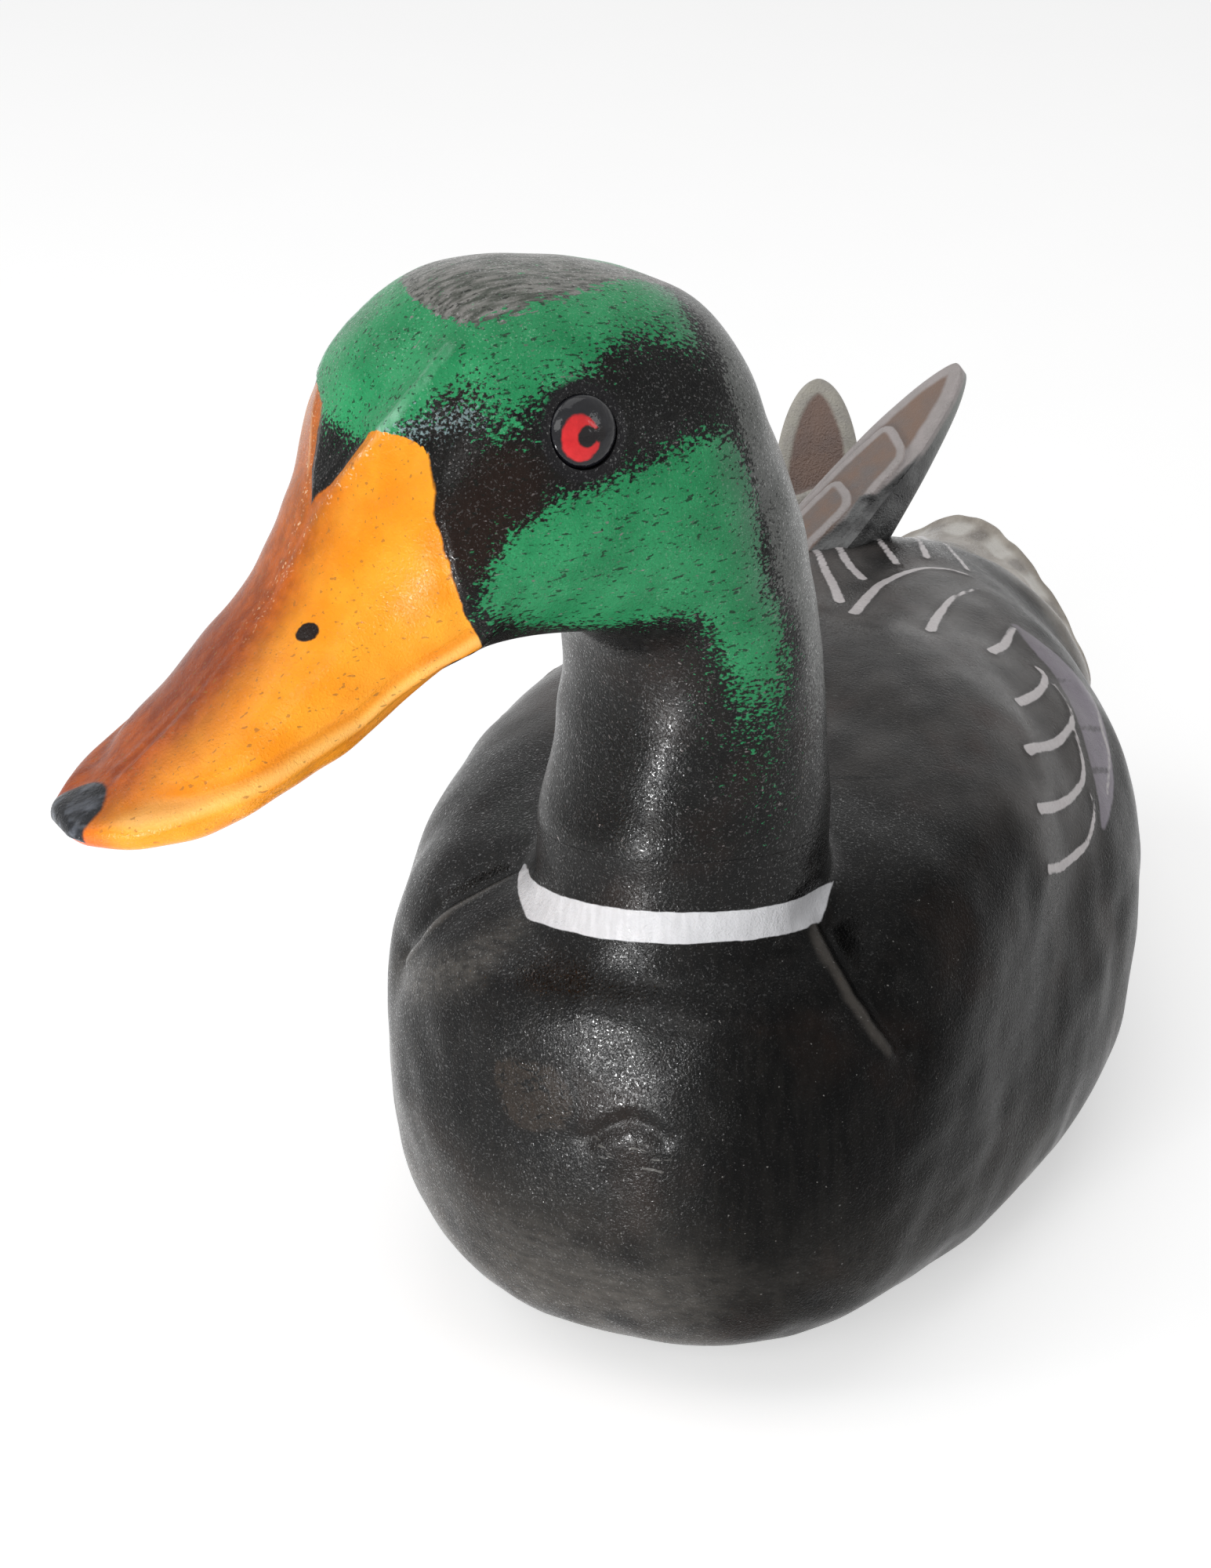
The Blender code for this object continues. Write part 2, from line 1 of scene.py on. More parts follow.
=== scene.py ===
"""Looks of the floating drake decoy: hand-painted, lacquered wood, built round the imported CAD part.

The duck looks along -Y, its left side is +X and +Z is up. Shapes are worked out in millimetres as
(side, -forward, up) points, and MM turns them into metres where meshes are made.
"""

import json
import math

import bmesh
import bpy
import numpy as np
from mathutils import Matrix, Vector
from mathutils.bvhtree import BVHTree

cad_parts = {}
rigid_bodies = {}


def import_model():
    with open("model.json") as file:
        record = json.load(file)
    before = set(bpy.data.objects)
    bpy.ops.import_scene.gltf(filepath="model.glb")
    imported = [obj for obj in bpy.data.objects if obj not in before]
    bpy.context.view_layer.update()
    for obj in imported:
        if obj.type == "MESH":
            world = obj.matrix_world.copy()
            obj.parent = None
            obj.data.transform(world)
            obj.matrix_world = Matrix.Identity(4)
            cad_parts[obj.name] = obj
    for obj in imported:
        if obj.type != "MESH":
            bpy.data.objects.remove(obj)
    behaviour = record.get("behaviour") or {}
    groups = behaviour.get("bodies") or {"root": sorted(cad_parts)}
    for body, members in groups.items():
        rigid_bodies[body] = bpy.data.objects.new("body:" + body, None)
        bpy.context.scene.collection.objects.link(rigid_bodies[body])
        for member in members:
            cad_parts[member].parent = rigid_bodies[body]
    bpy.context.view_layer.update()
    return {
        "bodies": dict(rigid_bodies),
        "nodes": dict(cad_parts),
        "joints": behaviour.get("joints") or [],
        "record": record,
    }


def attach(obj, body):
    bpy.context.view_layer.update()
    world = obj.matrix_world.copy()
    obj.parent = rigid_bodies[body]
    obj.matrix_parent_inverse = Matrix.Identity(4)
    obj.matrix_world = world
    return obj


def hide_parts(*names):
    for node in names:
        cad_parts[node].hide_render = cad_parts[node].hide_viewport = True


MM = 0.001

# The carved blocks' sections, as in the CAD part:
#   inner fwd, inner up, outer fwd, outer up, width, lean, boxiness
BODY_STATIONS = [
    (101.9, 121, 45.3, 116, 28.3, 0, 2),
    (102.2, 110, 45, 109, 28.6, 0, 2),
    (103.8, 96, 40, 107.8, 31.5, 0, 2),
    (110, 86, 21, 109.5, 49.5, 0.02, 2.3),
    (114, 62, 0, 112, 60.5, 0.05, 2.4),
    (114.5, 34, -21, 112.5, 65, 0.08, 2.45),
    (101, 8, -41, 109, 68, 0.03, 2.45),
    (54, -4, -60, 106, 74.5, -0.1, 2.4),
    (3, -8, -80, 102, 73.5, -0.18, 2.4),
    (-48, -5, -99, 97, 55.5, -0.12, 2.3),
    (-87, 17, -114, 91, 47, 0, 2.3),
    (-110, 39, -126, 85, 42, 0, 2.3),
    (-124, 54, -135, 82, 40, 0, 2.5),
    (-134, 66, -141, 83, 38.5, 0, 2.6),
]
HEAD_STATIONS = [
    (25, 106, -32.8, 106, 29.5, 0, 2),
    (21.5, 124, -32.5, 122, 28, 0, 2),
    (18, 146, -30.5, 146, 27.4, 0, 2),
    (20, 160, -27, 168, 28.5, 0, 2),
    (29, 165.5, -18.5, 195, 31, 0, 2.1),
    (39.5, 166, -3, 222, 33.4, 0, 2.1),
    (48, 164.5, 36, 233.5, 33, 0, 2.1),
    (56, 159, 60, 222, 29.3, 0, 2.1),
    (63, 153, 70.8, 198.5, 22.8, 0, 2.1),
    (76, 147, 79.6, 181.3, 21.2, 0, 2.2),
    (94, 142, 97.2, 163, 20.6, 0, 2.3),
    (110, 140, 112, 151.5, 15.5, 0, 2.3),
    (121.5, 140.8, 123, 147, 6.5, 0, 2.3),
]
SPAN_STEPS = 20  # sections from one station to the next
BODY_SEGMENTS, HEAD_SEGMENTS = 360, 240
TAIL_ROUND, BILL_ROUND = 4.0, 2.9  # radius of the blocks' far edges

NECK_FORWARD = 77.0
NECK_BASE = (3.0, 73.5)  # middle of the neck at the glue joint: side, forward
NECK_RADIUS = 28.5
HEAD_TURN = -41.5
SEAM_HEIGHT, SEAM_TILT, SEAM_TILT_TOWARDS = 113.5, 12.0, 20.0
SEAM_GAP = 0.06
STUMP_RADIUS, STUMP_LENGTH = 33.0, 40
WELL_PROFILE, WELL_PLACE = [(13, -5), (13, 24), (10, 27)], (0, -70, 0)
REBATE_SIZE, REBATE_FORWARD, REBATE_BOXINESS, REBATE_DEPTH = (32.3, 50.3), 2, 2.6, 10.3

SHOULDER_PATH = [(34, 78.6, 99.6), (39, 83.4, 96.7), (45, 87.5, 92.3), (49.5, 88, 86.5), (54, 85.5, 79)]
GROOVE_LIP = [(31.5, 80.5, 98.5), (36.5, 86, 95.2), (42.5, 90, 91), (47.3, 90.5, 85.5), (51, 89, 79.5)]
BILL_EDGE = [  # height, forward
    (150, 50), (174, 51), (183, 56), (193, 58.7), (200, 60), (206, 59.3), (211, 58.5), (212.8, 61.5),
    (214.5, 67), (240, 90),
]
BILL_NOTCH = (17.0, 12.0)
BILL_STEP = 0.9
MOUTH_PATH = [(53, 178), (72, 164), (95, 156), (112, 151)]  # forward, height
FAN_START, FAN_END, FAN_RIM = -108, -141, -138  # forward
FAN_ROUND, FAN_ARCH, FAN_POINT, FAN_FEATHERS, FAN_HALF_WIDTH = 21.0, 22.0, 1.5, 7, 39.0

COLLAR_LEVEL, COLLAR_TILT, COLLAR_WIDTH, COLLAR_REACH = 97.6, 15.0, 6.6, 31.2
EYE_FORWARD, EYE_HEIGHT = 33.6, 212.7
EYE_RADIUS, EYE_DOME, EYE_SEAT = 6.4, 2.6, 1.6


# ---------------------------------------- shapes


def catmull_rom(rows, per_span):
    """Rows along a smooth curve through the given rows."""
    rows = np.asarray(rows, float)
    padded = np.vstack([2 * rows[0] - rows[1], rows, 2 * rows[-1] - rows[-2]])
    result = []
    for a, b, c, d in zip(padded, padded[1:], padded[2:], padded[3:]):
        for t in np.arange(per_span) / per_span:
            bend = (2 * a - 5 * b + 4 * c - d) * t**2 + (3 * b - a - 3 * c + d) * t**3
            result.append(b + ((c - a) * t + bend) / 2)
    result.append(rows[-1])
    return np.array(result)


def lengths_along(points):
    """How far along its line each point is."""
    return np.concatenate([[0], np.cumsum(np.linalg.norm(np.diff(points, axis=0), axis=1))])


def resampled(rows, along, stops):
    return np.stack([np.interp(stops, along, values) for values in rows.T], axis=1)


def round_end(rows, radius):
    """Rows whose far end shrinks along a quarter circle, so that the block ends in a rounded edge."""
    along = lengths_along((rows[:, 0:2] + rows[:, 2:4]) / 2)
    bend = np.linspace(0, math.pi / 2, 9)[1:]
    stops = np.concatenate([along[along < along[-1] - radius], along[-1] - radius + radius * np.sin(bend)])
    inset = np.concatenate([np.zeros(len(stops) - len(bend)), radius * (1 - np.cos(bend))])
    rows = resampled(rows, along, stops)
    across = rows[:, 2:4] - rows[:, 0:2]
    across = inset[:, None] * across / np.linalg.norm(across, axis=1, keepdims=True)
    rows[:, 0:2] += across
    rows[:, 2:4] -= across
    rows[:, 4] -= inset
    return rows


def rounded(value, boxiness):
    """A sine or cosine pushed outwards, so that a circle becomes boxier."""
    return np.sign(value) * np.abs(value) ** (2 / boxiness)


def section(station, segments):
    """A closed ring of evenly spaced points (side, -forward, up) round a station."""
    inner, outer = np.array(station[0:2]), np.array(station[2:4])
    width, lean, boxiness = station[4:7]
    angle = np.linspace(0, 2 * math.pi, 1441)
    along, side = rounded(np.cos(angle), boxiness), rounded(np.sin(angle), boxiness)
    along = along + lean * (1 - along**2)
    forward, up = ((inner + outer)[:, None] + (outer - inner)[:, None] * along) / 2
    ring = np.stack([width * side, -forward, up], axis=1)
    along = lengths_along(ring)
    return resampled(ring, along, np.linspace(0, along[-1], segments, endpoint=False))


def loft(stations, segments, end_radius):
    rows = round_end(catmull_rom(stations, SPAN_STEPS), end_radius)
    return np.array([section(row, segments) for row in rows])


def surface_normals(rings):
    """Outward directions at the points of a loft."""
    along = np.gradient(rings, axis=0)
    around = np.roll(rings, -1, axis=1) - np.roll(rings, 1, axis=1)
    normals = np.cross(around, along)
    normals /= np.linalg.norm(normals, axis=2, keepdims=True) + 1e-12
    outwards = rings - rings.mean(axis=1, keepdims=True)
    return normals * np.sign((normals * outwards).sum(axis=2).mean())


def distance_to_path(points, path, radii=None):
    """Distance from a path of straight pieces, or from a stroke's edge if the path's points have radii."""
    path = np.array(path, float)
    radii = np.zeros(len(path)) if radii is None else radii
    best = np.full(points.shape[:-1], np.inf)
    for start, end, first, last in zip(path, path[1:], radii, radii[1:]):
        step = end - start
        t = np.clip(((points - start) @ step) / (step @ step), 0, 1)
        gap = np.linalg.norm(points - start - t[..., None] * step, axis=-1)
        best = np.minimum(best, gap - first - (last - first) * t)
    return best


def stroke_distance(points, path, radii):
    """Distance from a curved stroke's edge, negative inside. The radii are spread evenly along it."""
    path = catmull_rom(path, 4)
    radii = np.interp(np.linspace(0, 1, len(path)), np.linspace(0, 1, len(radii)), radii)
    return distance_to_path(points, path, radii)


def smooth_step(low, high, value):
    t = np.clip((value - low) / (high - low), 0, 1)
    return t * t * (3 - 2 * t)


def hump(value, centre, reach):
    return np.exp(-(((value - centre) / reach) ** 2))


def unevenness(points, size, seed, waves=14):
    """The slow ups and downs that a knife leaves, mostly within 1 of 0, with humps about size wide."""
    draw = np.random.default_rng(seed)
    total = np.zeros(points.shape[:-1])
    for _ in range(waves):
        direction = draw.normal(size=3)
        direction /= np.linalg.norm(direction)
        pitch = size * draw.uniform(0.8, 1.7)
        total += np.sin(points @ direction * (math.pi / pitch) + draw.uniform(0, 2 * math.pi))
    return total / math.sqrt(waves)


def mirrored(points):
    """(distance from the middle plane, forward, up) of (side, -forward, up) points."""
    return np.stack([np.abs(points[..., 0]), -points[..., 1], points[..., 2]], axis=-1)


def plain(points):
    """(side, forward, up) of (side, -forward, up) points."""
    return points * (1, -1, 1)


def read_off(table, value):
    """The second number of a table's rows, where the first one is value."""
    return np.interp(value, *zip(*table))


def make_mesh(name, points, faces):
    mesh = bpy.data.meshes.new(name)
    mesh.from_pydata((np.asarray(points) * MM).tolist(), [], faces)
    work = bmesh.new()
    work.from_mesh(mesh)
    bmesh.ops.recalc_face_normals(work, faces=work.faces)
    work.to_mesh(mesh)
    work.free()
    mesh.polygons.foreach_set("use_smooth", [True] * len(mesh.polygons))
    return add_object(name, mesh)


def skin(rings):
    """Points and faces of a closed tube over rings, with a fan to a middle point at each end."""
    count, segments, _ = rings.shape
    points = np.concatenate([rings.reshape(-1, 3), [rings[0].mean(axis=0), rings[-1].mean(axis=0)]])
    faces = []
    for i in range(count - 1):
        a, b = i * segments, (i + 1) * segments
        faces += [(a + j, a + (j + 1) % segments, b + (j + 1) % segments, b + j) for j in range(segments)]
    for base, middle in ((0, len(points) - 2), ((count - 1) * segments, len(points) - 1)):
        faces += [(middle, base + j, base + (j + 1) % segments) for j in range(segments)]
    return points, faces


def seam_plane(offset):
    towards, tilt = math.radians(SEAM_TILT_TOWARDS), math.radians(SEAM_TILT)
    level = Vector((math.sin(towards), -math.cos(towards), 0))
    normal = Vector((0, 0, 1)) * math.cos(tilt) - level * math.sin(tilt)
    return Vector((NECK_BASE[0], -NECK_BASE[1], SEAM_HEIGHT)) + normal * offset, normal


def head_frame():
    return Matrix.Translation((0, -NECK_FORWARD, 0)) @ Matrix.Rotation(math.radians(HEAD_TURN), 4, "Z")


def trim(obj, point, normal):
    """Cuts the object on a plane, keeps what lies on the normal's side and closes the cut."""
    work = bmesh.new()
    work.from_mesh(obj.data)
    geometry = work.verts[:] + work.edges[:] + work.faces[:]
    place = Vector(point) * MM
    halved = bmesh.ops.bisect_plane(work, geom=geometry, plane_co=place, plane_no=normal, clear_inner=True)
    rim = [part for part in halved["geom_cut"] if isinstance(part, bmesh.types.BMEdge)]
    bmesh.ops.contextual_create(work, geom=rim)
    bmesh.ops.recalc_face_normals(work, faces=work.faces)
    work.to_mesh(obj.data)
    work.free()


def column(profile, at, turn=Matrix.Identity(3), segments=96):
    """Rings of a turned solid from (radius, height) points."""
    angle = np.linspace(0, 2 * math.pi, segments, endpoint=False)
    circle = np.stack([np.cos(angle), np.sin(angle), 0 * angle], axis=1)
    rings = np.array([radius * circle + (0, 0, height) for radius, height in profile])
    return rings @ np.array(turn).T + np.array(at)


def cut(target, rings_list):
    """Takes closed tubes over rings out of the target."""
    points, faces = [], []
    for rings in rings_list:
        p, f = skin(rings)
        faces += [tuple(k + len(points) for k in face) for face in f]
        points += p.tolist()
    tool = make_mesh("tool", points, faces)
    modifier = target.modifiers.new("cut", "BOOLEAN")
    modifier.operation, modifier.solver, modifier.object = "DIFFERENCE", "EXACT", tool
    mesh = bpy.data.meshes.new_from_object(target.evaluated_get(bpy.context.evaluated_depsgraph_get()))
    target.modifiers.clear()
    target.data = mesh
    bpy.data.objects.remove(tool)


def points_of(obj):
    points = np.empty(len(obj.data.vertices) * 3)
    obj.data.vertices.foreach_get("co", points)
    return points.reshape(-1, 3) / MM


def store(obj, **fields):
    """Writes each field as a value per vertex, for the materials."""
    for name, values in fields.items():
        attribute = obj.data.attributes.new(name, "FLOAT", "POINT")
        attribute.data.foreach_set("value", np.ascontiguousarray(values, dtype=np.float32))


def sharpen(obj, degrees):
    obj.data.polygons.foreach_set("use_smooth", [True] * len(obj.data.polygons))
    obj.data.set_sharp_from_angle(angle=math.radians(degrees))


def polygon_depth(points, corners):
    """How far inside a polygon flat points lie, negative outside."""
    corners = np.array(corners, float)
    inside = np.zeros(points.shape[:-1], bool)
    for (ax, ay), (bx, by) in zip(corners, np.roll(corners, -1, axis=0)):
        spans = (ay > points[..., 1]) != (by > points[..., 1])
        crossing = ax + (points[..., 1] - ay) * (bx - ax) / (by - ay + 1e-12)
        inside ^= spans & (points[..., 0] < crossing)
    depth = distance_to_path(points, np.vstack([corners, corners[:1]]))
    return np.where(inside, depth, -depth)


def softened(corners, *reaches):
    """An outline with its corners cut back by each reach in turn."""
    corners = np.asarray(corners, float)
    for reach in reaches:
        cuts = []
        for before, here, after in zip(np.roll(corners, 1, 0), corners, np.roll(corners, -1, 0)):
            for step in (before - here, after - here):
                cuts.append(here + step * min(reach / np.linalg.norm(step), 0.4))
        corners = np.array(cuts)
    return corners


# ---------------------------------------- painted marks, as (side, forward, up)

UPPER_MARKS = [  # each mark has its radii, spread evenly along it, and its path
    ((1.4, 0.6), [(22.3, -38, 108), (20.8, -52.5, 105.8), (21.2, -65, 103.5), (23.3, -76, 100.7)]),
    ((1.4, 0.9), [(36, -40, 103.6), (36.5, -48, 102), (36, -56, 100.6), (35.7, -61, 100)]),
]
SIDE_MARKS = [
    ((1.4, 0.9), [
        (46.8, -21.5, 102), (47.7, -34.4, 98.2), (47.5, -43, 97), (46.3, -47, 97), (44.5, -48, 98),
    ]),
    ((1.5, 0.9), [
        (53.8, -2.3, 101), (55, -18, 94.7), (55.7, -28.6, 92.2), (54.8, -38.6, 91.7), (49, -45.5, 95.2),
    ]),
    ((1.5, 0.8), [
        (60, 12, 95.2), (61.2, -1, 89.7), (61.7, -15.6, 85.8), (61.3, -25, 86), (56.5, -34.4, 90.6),
    ]),
    ((1.5, 0.6), [
        (64, 20.5, 86), (65, 8.5, 81), (66, -5, 78), (66, -14.5, 78.6), (65.2, -20, 80.4),
        (63.6, -22, 82.8),
    ]),
]
RUMP_MARKS = [
    ((1.5, 0.7), [
        (5, -37, 110), (4.3, -54, 107), (5.4, -68, 104.5), (9, -77.5, 102.3), (14, -82.5, 100.7),
        (19, -84, 99.5),
    ]),
    ((1.1, 1.4), [(-19, -86, 99), (-7.5, -60, 105.8), (-0.2, -43.6, 108.6)]),
    ((1.2, 1.3), [(-13.5, -87, 99.5), (-7.6, -74.3, 103), (-0.5, -62.7, 105.5)]),
    ((1.1, 1.2), [(-10.5, -106, 94), (-4.2, -91.2, 99.2), (3.1, -78.6, 102.3)]),
    ((1.1, 1.2), [(-4.2, -115, 91.3), (1.9, -101, 95.7), (8, -87.4, 100)]),
    ((1.1, 0.9), [(-6, -134, 86), (0.7, -118.7, 90.5), (11, -99.2, 96.1), (17.6, -88.5, 98.3)]),
]
SPECULUM = [
    (36, -63, 99.5), (45.5, -58, 95), (53, -53, 90), (58.5, -44, 86), (62.5, -36, 82), (65.5, -28, 79),
    (67.5, -20, 76.4),
]
SPECULUM_RADII = (1.5, 5, 7, 7, 6, 3.5, 0.8)
SPECULUM_BARS = [
    [(48, -46, 96), (50.5, -56, 91.5)],
    [(56.7, -37, 90), (59.5, -50, 84)],
    [(62, -28, 85), (64, -39, 80)],
]
SPECULUM_EDGE = [(47, -68, 90), (54, -60, 86.5), (59.3, -50, 84), (62.5, -44, 80.5), (65.6, -31, 78.5)]
WING_AREA = [
    (30, 40), (52, 38), (66, 22), (69, -10), (66, -32), (58, -50), (44, -66), (22, -88), (0, -92),
    (0, 44),
]
PATCH, PATCH_SHAPE, PATCH_RADIUS = (-14, 112, 69), (1.25, 1, 1.1), 7.5  # the worn place on the breast
SCRATCHED = [(3, 113, 62), (11, 112.5, 60.5)]
BREAST_CREASE = [(-25, 97, 97), (-31, 101.6, 89.2), (-43, 97.3, 80.8), (-55, 84.7, 73)]
BREAST_DENT = [(-2, 113.9, 63), (1.1, 113.6, 66), (5.9, 113.2, 68.7), (10.4, 113, 68.1), (13, 112.9, 66.2)]

# The head's marks, on its own axes with the neck's middle as 0: outlines are (forward, up) in side view.
GREEN_UPPER = [
    (76, 245), (76, 209), (62, 209), (56, 211), (52, 213.2), (48, 214), (38, 219), (31, 221.8), (20, 224),
    (12, 223), (5, 220), (3, 226), (3, 245),
]
GREEN_LOWER = [
    (53, 183), (52.5, 191), (47.5, 197.5), (38.6, 202), (28, 204.2), (18, 206), (9.5, 207), (4, 206),
    (-1, 196), (-3, 184), (-4, 175), (-10, 166), (-12.5, 155), (-12.5, 140), (-10.5, 128), (-6.5, 125),
    (-2, 135), (2, 147), (4, 160), (8, 171), (13, 173), (26.5, 170.6), (37, 174), (48, 179.5),
]
CROWN_HALF_WIDTH = [  # forward, half width
    (-6, 2), (8, 3), (15, 6.3), (26, 11.3), (38.5, 14.5), (45.5, 13.8), (48, 10.3), (50, 2.7), (51, -2),
]
NAPE_LINE = [  # height, forward
    (130, -7), (144, -14), (155, -14), (166, -11), (175, -5), (184, -3), (195, 0), (207, 3), (240, 4),
]
FACET_RIDGE = [
    (15, 51, 225.6), (16, 56.6, 220.7), (15.2, 61.5, 215.6), (11.1, 66.1, 208.1), (4.5, 69.4, 197.3),
    (1.5, 73.3, 188.8), (1.2, 79.7, 177.8), (1.5, 96, 162.3), (2, 110, 152.5),
]
SHEEN = [(16, 63, 211.5), (21, 57.5, 215.5), (24, 52, 217)]
# where the black stipple is denser between the facet ridge and the eye: real stipple that also stands as
# painted shade on the facet turned from the light
STIPPLED_AND_SHADED = [(19.5, 49, 224), (21, 55, 218), (21.3, 59.3, 213)]
CULMEN = [(0, 66, 204), (0, 69.5, 197.5), (0, 78.5, 180), (0, 96.5, 162), (0, 112, 151.5), (0, 123, 147)]
THIN_BLACK = [(29.8, 56.5, 195.5), (30.6, 52.3, 202.2), (31, 48, 206)]
NOSTRIL, NOSTRIL_ALONG = (12.6, 78.0, 177.3), (0.68, -0.64, 0.36)


def wing_marks(points):
    """Distance from the edge of the pale strokes, negative inside. Only the rump's are not mirrored."""
    strokes = [stroke_distance(mirrored(points), path, radii) for radii, path in SIDE_MARKS]
    level = (1, 1, 0.15)  # for strokes that lie flat on the back
    underside = points[..., 2] < 70
    for place, marks in ((plain(points), RUMP_MARKS), (mirrored(points), UPPER_MARKS)):
        for radii, path in marks:
            strokes.append(stroke_distance(place * level, np.array(path) * level, radii) + 30 * underside)
    return np.min(strokes, axis=0)


def carve_body(rings):
    """Shoulder grooves, the breast's dent, tool marks, raised strokes, a full rump and the tail fan."""
    side, forward = rings[..., 0], -rings[..., 1]
    to_groove = distance_to_path(mirrored(rings), SHOULDER_PATH)
    relief = -2.0 * hump(to_groove, 0, 7.0) - 1.2 * hump(to_groove, 0, 2.2)
    relief += 0.9 * hump(distance_to_path(mirrored(rings), GROOVE_LIP), 0, 2.6)
    relief += 0.5 * hump(distance_to_path(plain(rings) + (0, 0, -2.4), BREAST_DENT), 0, 1.8)
    relief -= 1.1 * hump(distance_to_path(plain(rings), BREAST_DENT), 0, 2.0)
    relief += 0.28 * unevenness(rings, 13, 3) + 0.12 * unevenness(rings, 5, 4)
    relief += 0.22 * (1 - smooth_step(-0.8, 0.6, wing_marks(rings)))
    rings = rings + surface_normals(rings) * relief[..., None]
    near_neck = 1 - smooth_step(36, 60, np.hypot(side, forward - NECK_FORWARD))
    rings[..., 0] += NECK_BASE[0] * smooth_step(90, 109, rings[..., 2]) * near_neck
    rings = join_neck(rings)
    rump = hump(forward, -100, 25) * hump(side, 0, 30) * (rings[..., 2] > 60)
    rings[..., 2] += 4.0 * rump
    return shape_fan(rings, side, forward)


def shape_fan(rings, side, forward):
    """Rounds and arches the fan, and cuts valleys between its feathers."""
    fan = smooth_step(FAN_START, FAN_END, forward)
    half_width = np.abs(side).max(axis=1, keepdims=True)
    across = np.abs(side / half_width) ** FAN_POINT
    rings[..., 1] += FAN_ROUND * fan * (1 - across)
    rings[..., 2] -= FAN_ARCH * fan * across
    valley = np.abs(np.cos(0.5 * math.pi * FAN_FEATHERS * side / half_width)) ** 6
    upper = smooth_step(0.1, 0.5, np.cos(np.linspace(0, 2 * math.pi, BODY_SEGMENTS, endpoint=False)))
    rim = smooth_step(0.6, 1, fan)
    rings[..., 1] -= 1.1 * rim * valley
    rings[..., 2] -= 1.3 * fan * (1 - 0.9 * rim) * valley * upper
    return rings


def join_neck(points):
    """Brings the neck to the same round outline on both sides of the glue joint."""
    point, normal = seam_plane(0)
    offset = points[..., :2] - (NECK_BASE[0], -NECK_BASE[1])
    away = np.linalg.norm(offset, axis=-1)
    near = hump((points - np.array(point)) @ np.array(normal), 0, 6) * (away < 34) * (away > 12)
    pull = 1 + (NECK_RADIUS / np.maximum(away, 1) - 1) * near
    points[..., :2] = offset * pull[..., None] + (NECK_BASE[0], -NECK_BASE[1])
    return points


def bill_side(side, forward, up):
    """How far forward of the cheek's edge a place is."""
    notch_width, notch_depth = BILL_NOTCH
    edge = read_off(BILL_EDGE, up) + notch_depth * np.clip(1 - np.abs(side) / notch_width, 0, 1)
    return forward - edge


def nostril_distance(points):
    """0 at the nostril's edge and -1 at its middle. The right one is lower."""
    offset = mirrored(points) - NOSTRIL + (points[..., :1] < 0) * (0, 0, 4)
    along = offset @ NOSTRIL_ALONG
    across = np.sqrt(np.maximum((offset**2).sum(axis=-1) - along**2, 0))
    return np.sqrt((along / 2.9) ** 2 + (across / 1.8) ** 2) - 1


def nail_distance(side, forward):
    return np.sqrt(((forward - 121) / 8) ** 2 + (side / 6.8) ** 2) - 1


def carve_head(rings):
    """The step to the bill, its mouth line and lip, nostrils, nail, face ridges, eye rims and tool marks."""
    side, forward, up = rings[..., 0], -rings[..., 1], rings[..., 2]
    flat = mirrored(rings)
    bill = smooth_step(-1.0, 1.0, bill_side(side, forward, up))
    profile = np.stack([forward, up], axis=-1)
    lip_side = smooth_step(5, 11, np.abs(side))
    relief = -BILL_STEP * bill - 0.5 * hump(distance_to_path(profile, MOUTH_PATH), 0, 1.0) * lip_side
    relief += 1.0 * hump(up, read_off(MOUTH_PATH, forward) - 3.2, 2.2) * lip_side * bill
    relief += 0.9 * hump(distance_to_path(flat, [(25.5, 51.5, 175.5), (25, 53, 173)]), 0, 3.0)
    to_ridge = distance_to_path(flat, FACET_RIDGE)
    forehead = smooth_step(46, 52, forward) * smooth_step(198, 204, up)
    crest = 1.6 * np.exp(-to_ridge / 1.8) - 1.3 * hump(to_ridge, 7, 5) * forehead
    relief += crest * (0.2 + 0.8 * smooth_step(-4, 6, side))
    relief -= 0.9 * (1 - smooth_step(-0.9, 0.15, nostril_distance(rings)))
    relief += 0.45 * (1 - smooth_step(-0.25, 0.1, nail_distance(side, forward))) * (up > 144)
    to_eye = np.linalg.norm(flat[..., 1:] - (EYE_FORWARD, EYE_HEIGHT), axis=-1)
    relief += 0.5 * hump(to_eye, 7.4, 1.3) * (flat[..., 0] > 20)
    relief += 0.22 * unevenness(rings, 11, 5) + 0.10 * unevenness(rings, 4.5, 6)
    rings = rings + surface_normals(rings) * relief[..., None]
    turn, shift = np.array(head_frame().to_3x3()), np.array(head_frame().translation)
    return (join_neck(rings @ turn.T + shift) - shift) @ turn


# ---------------------------------------- pieces


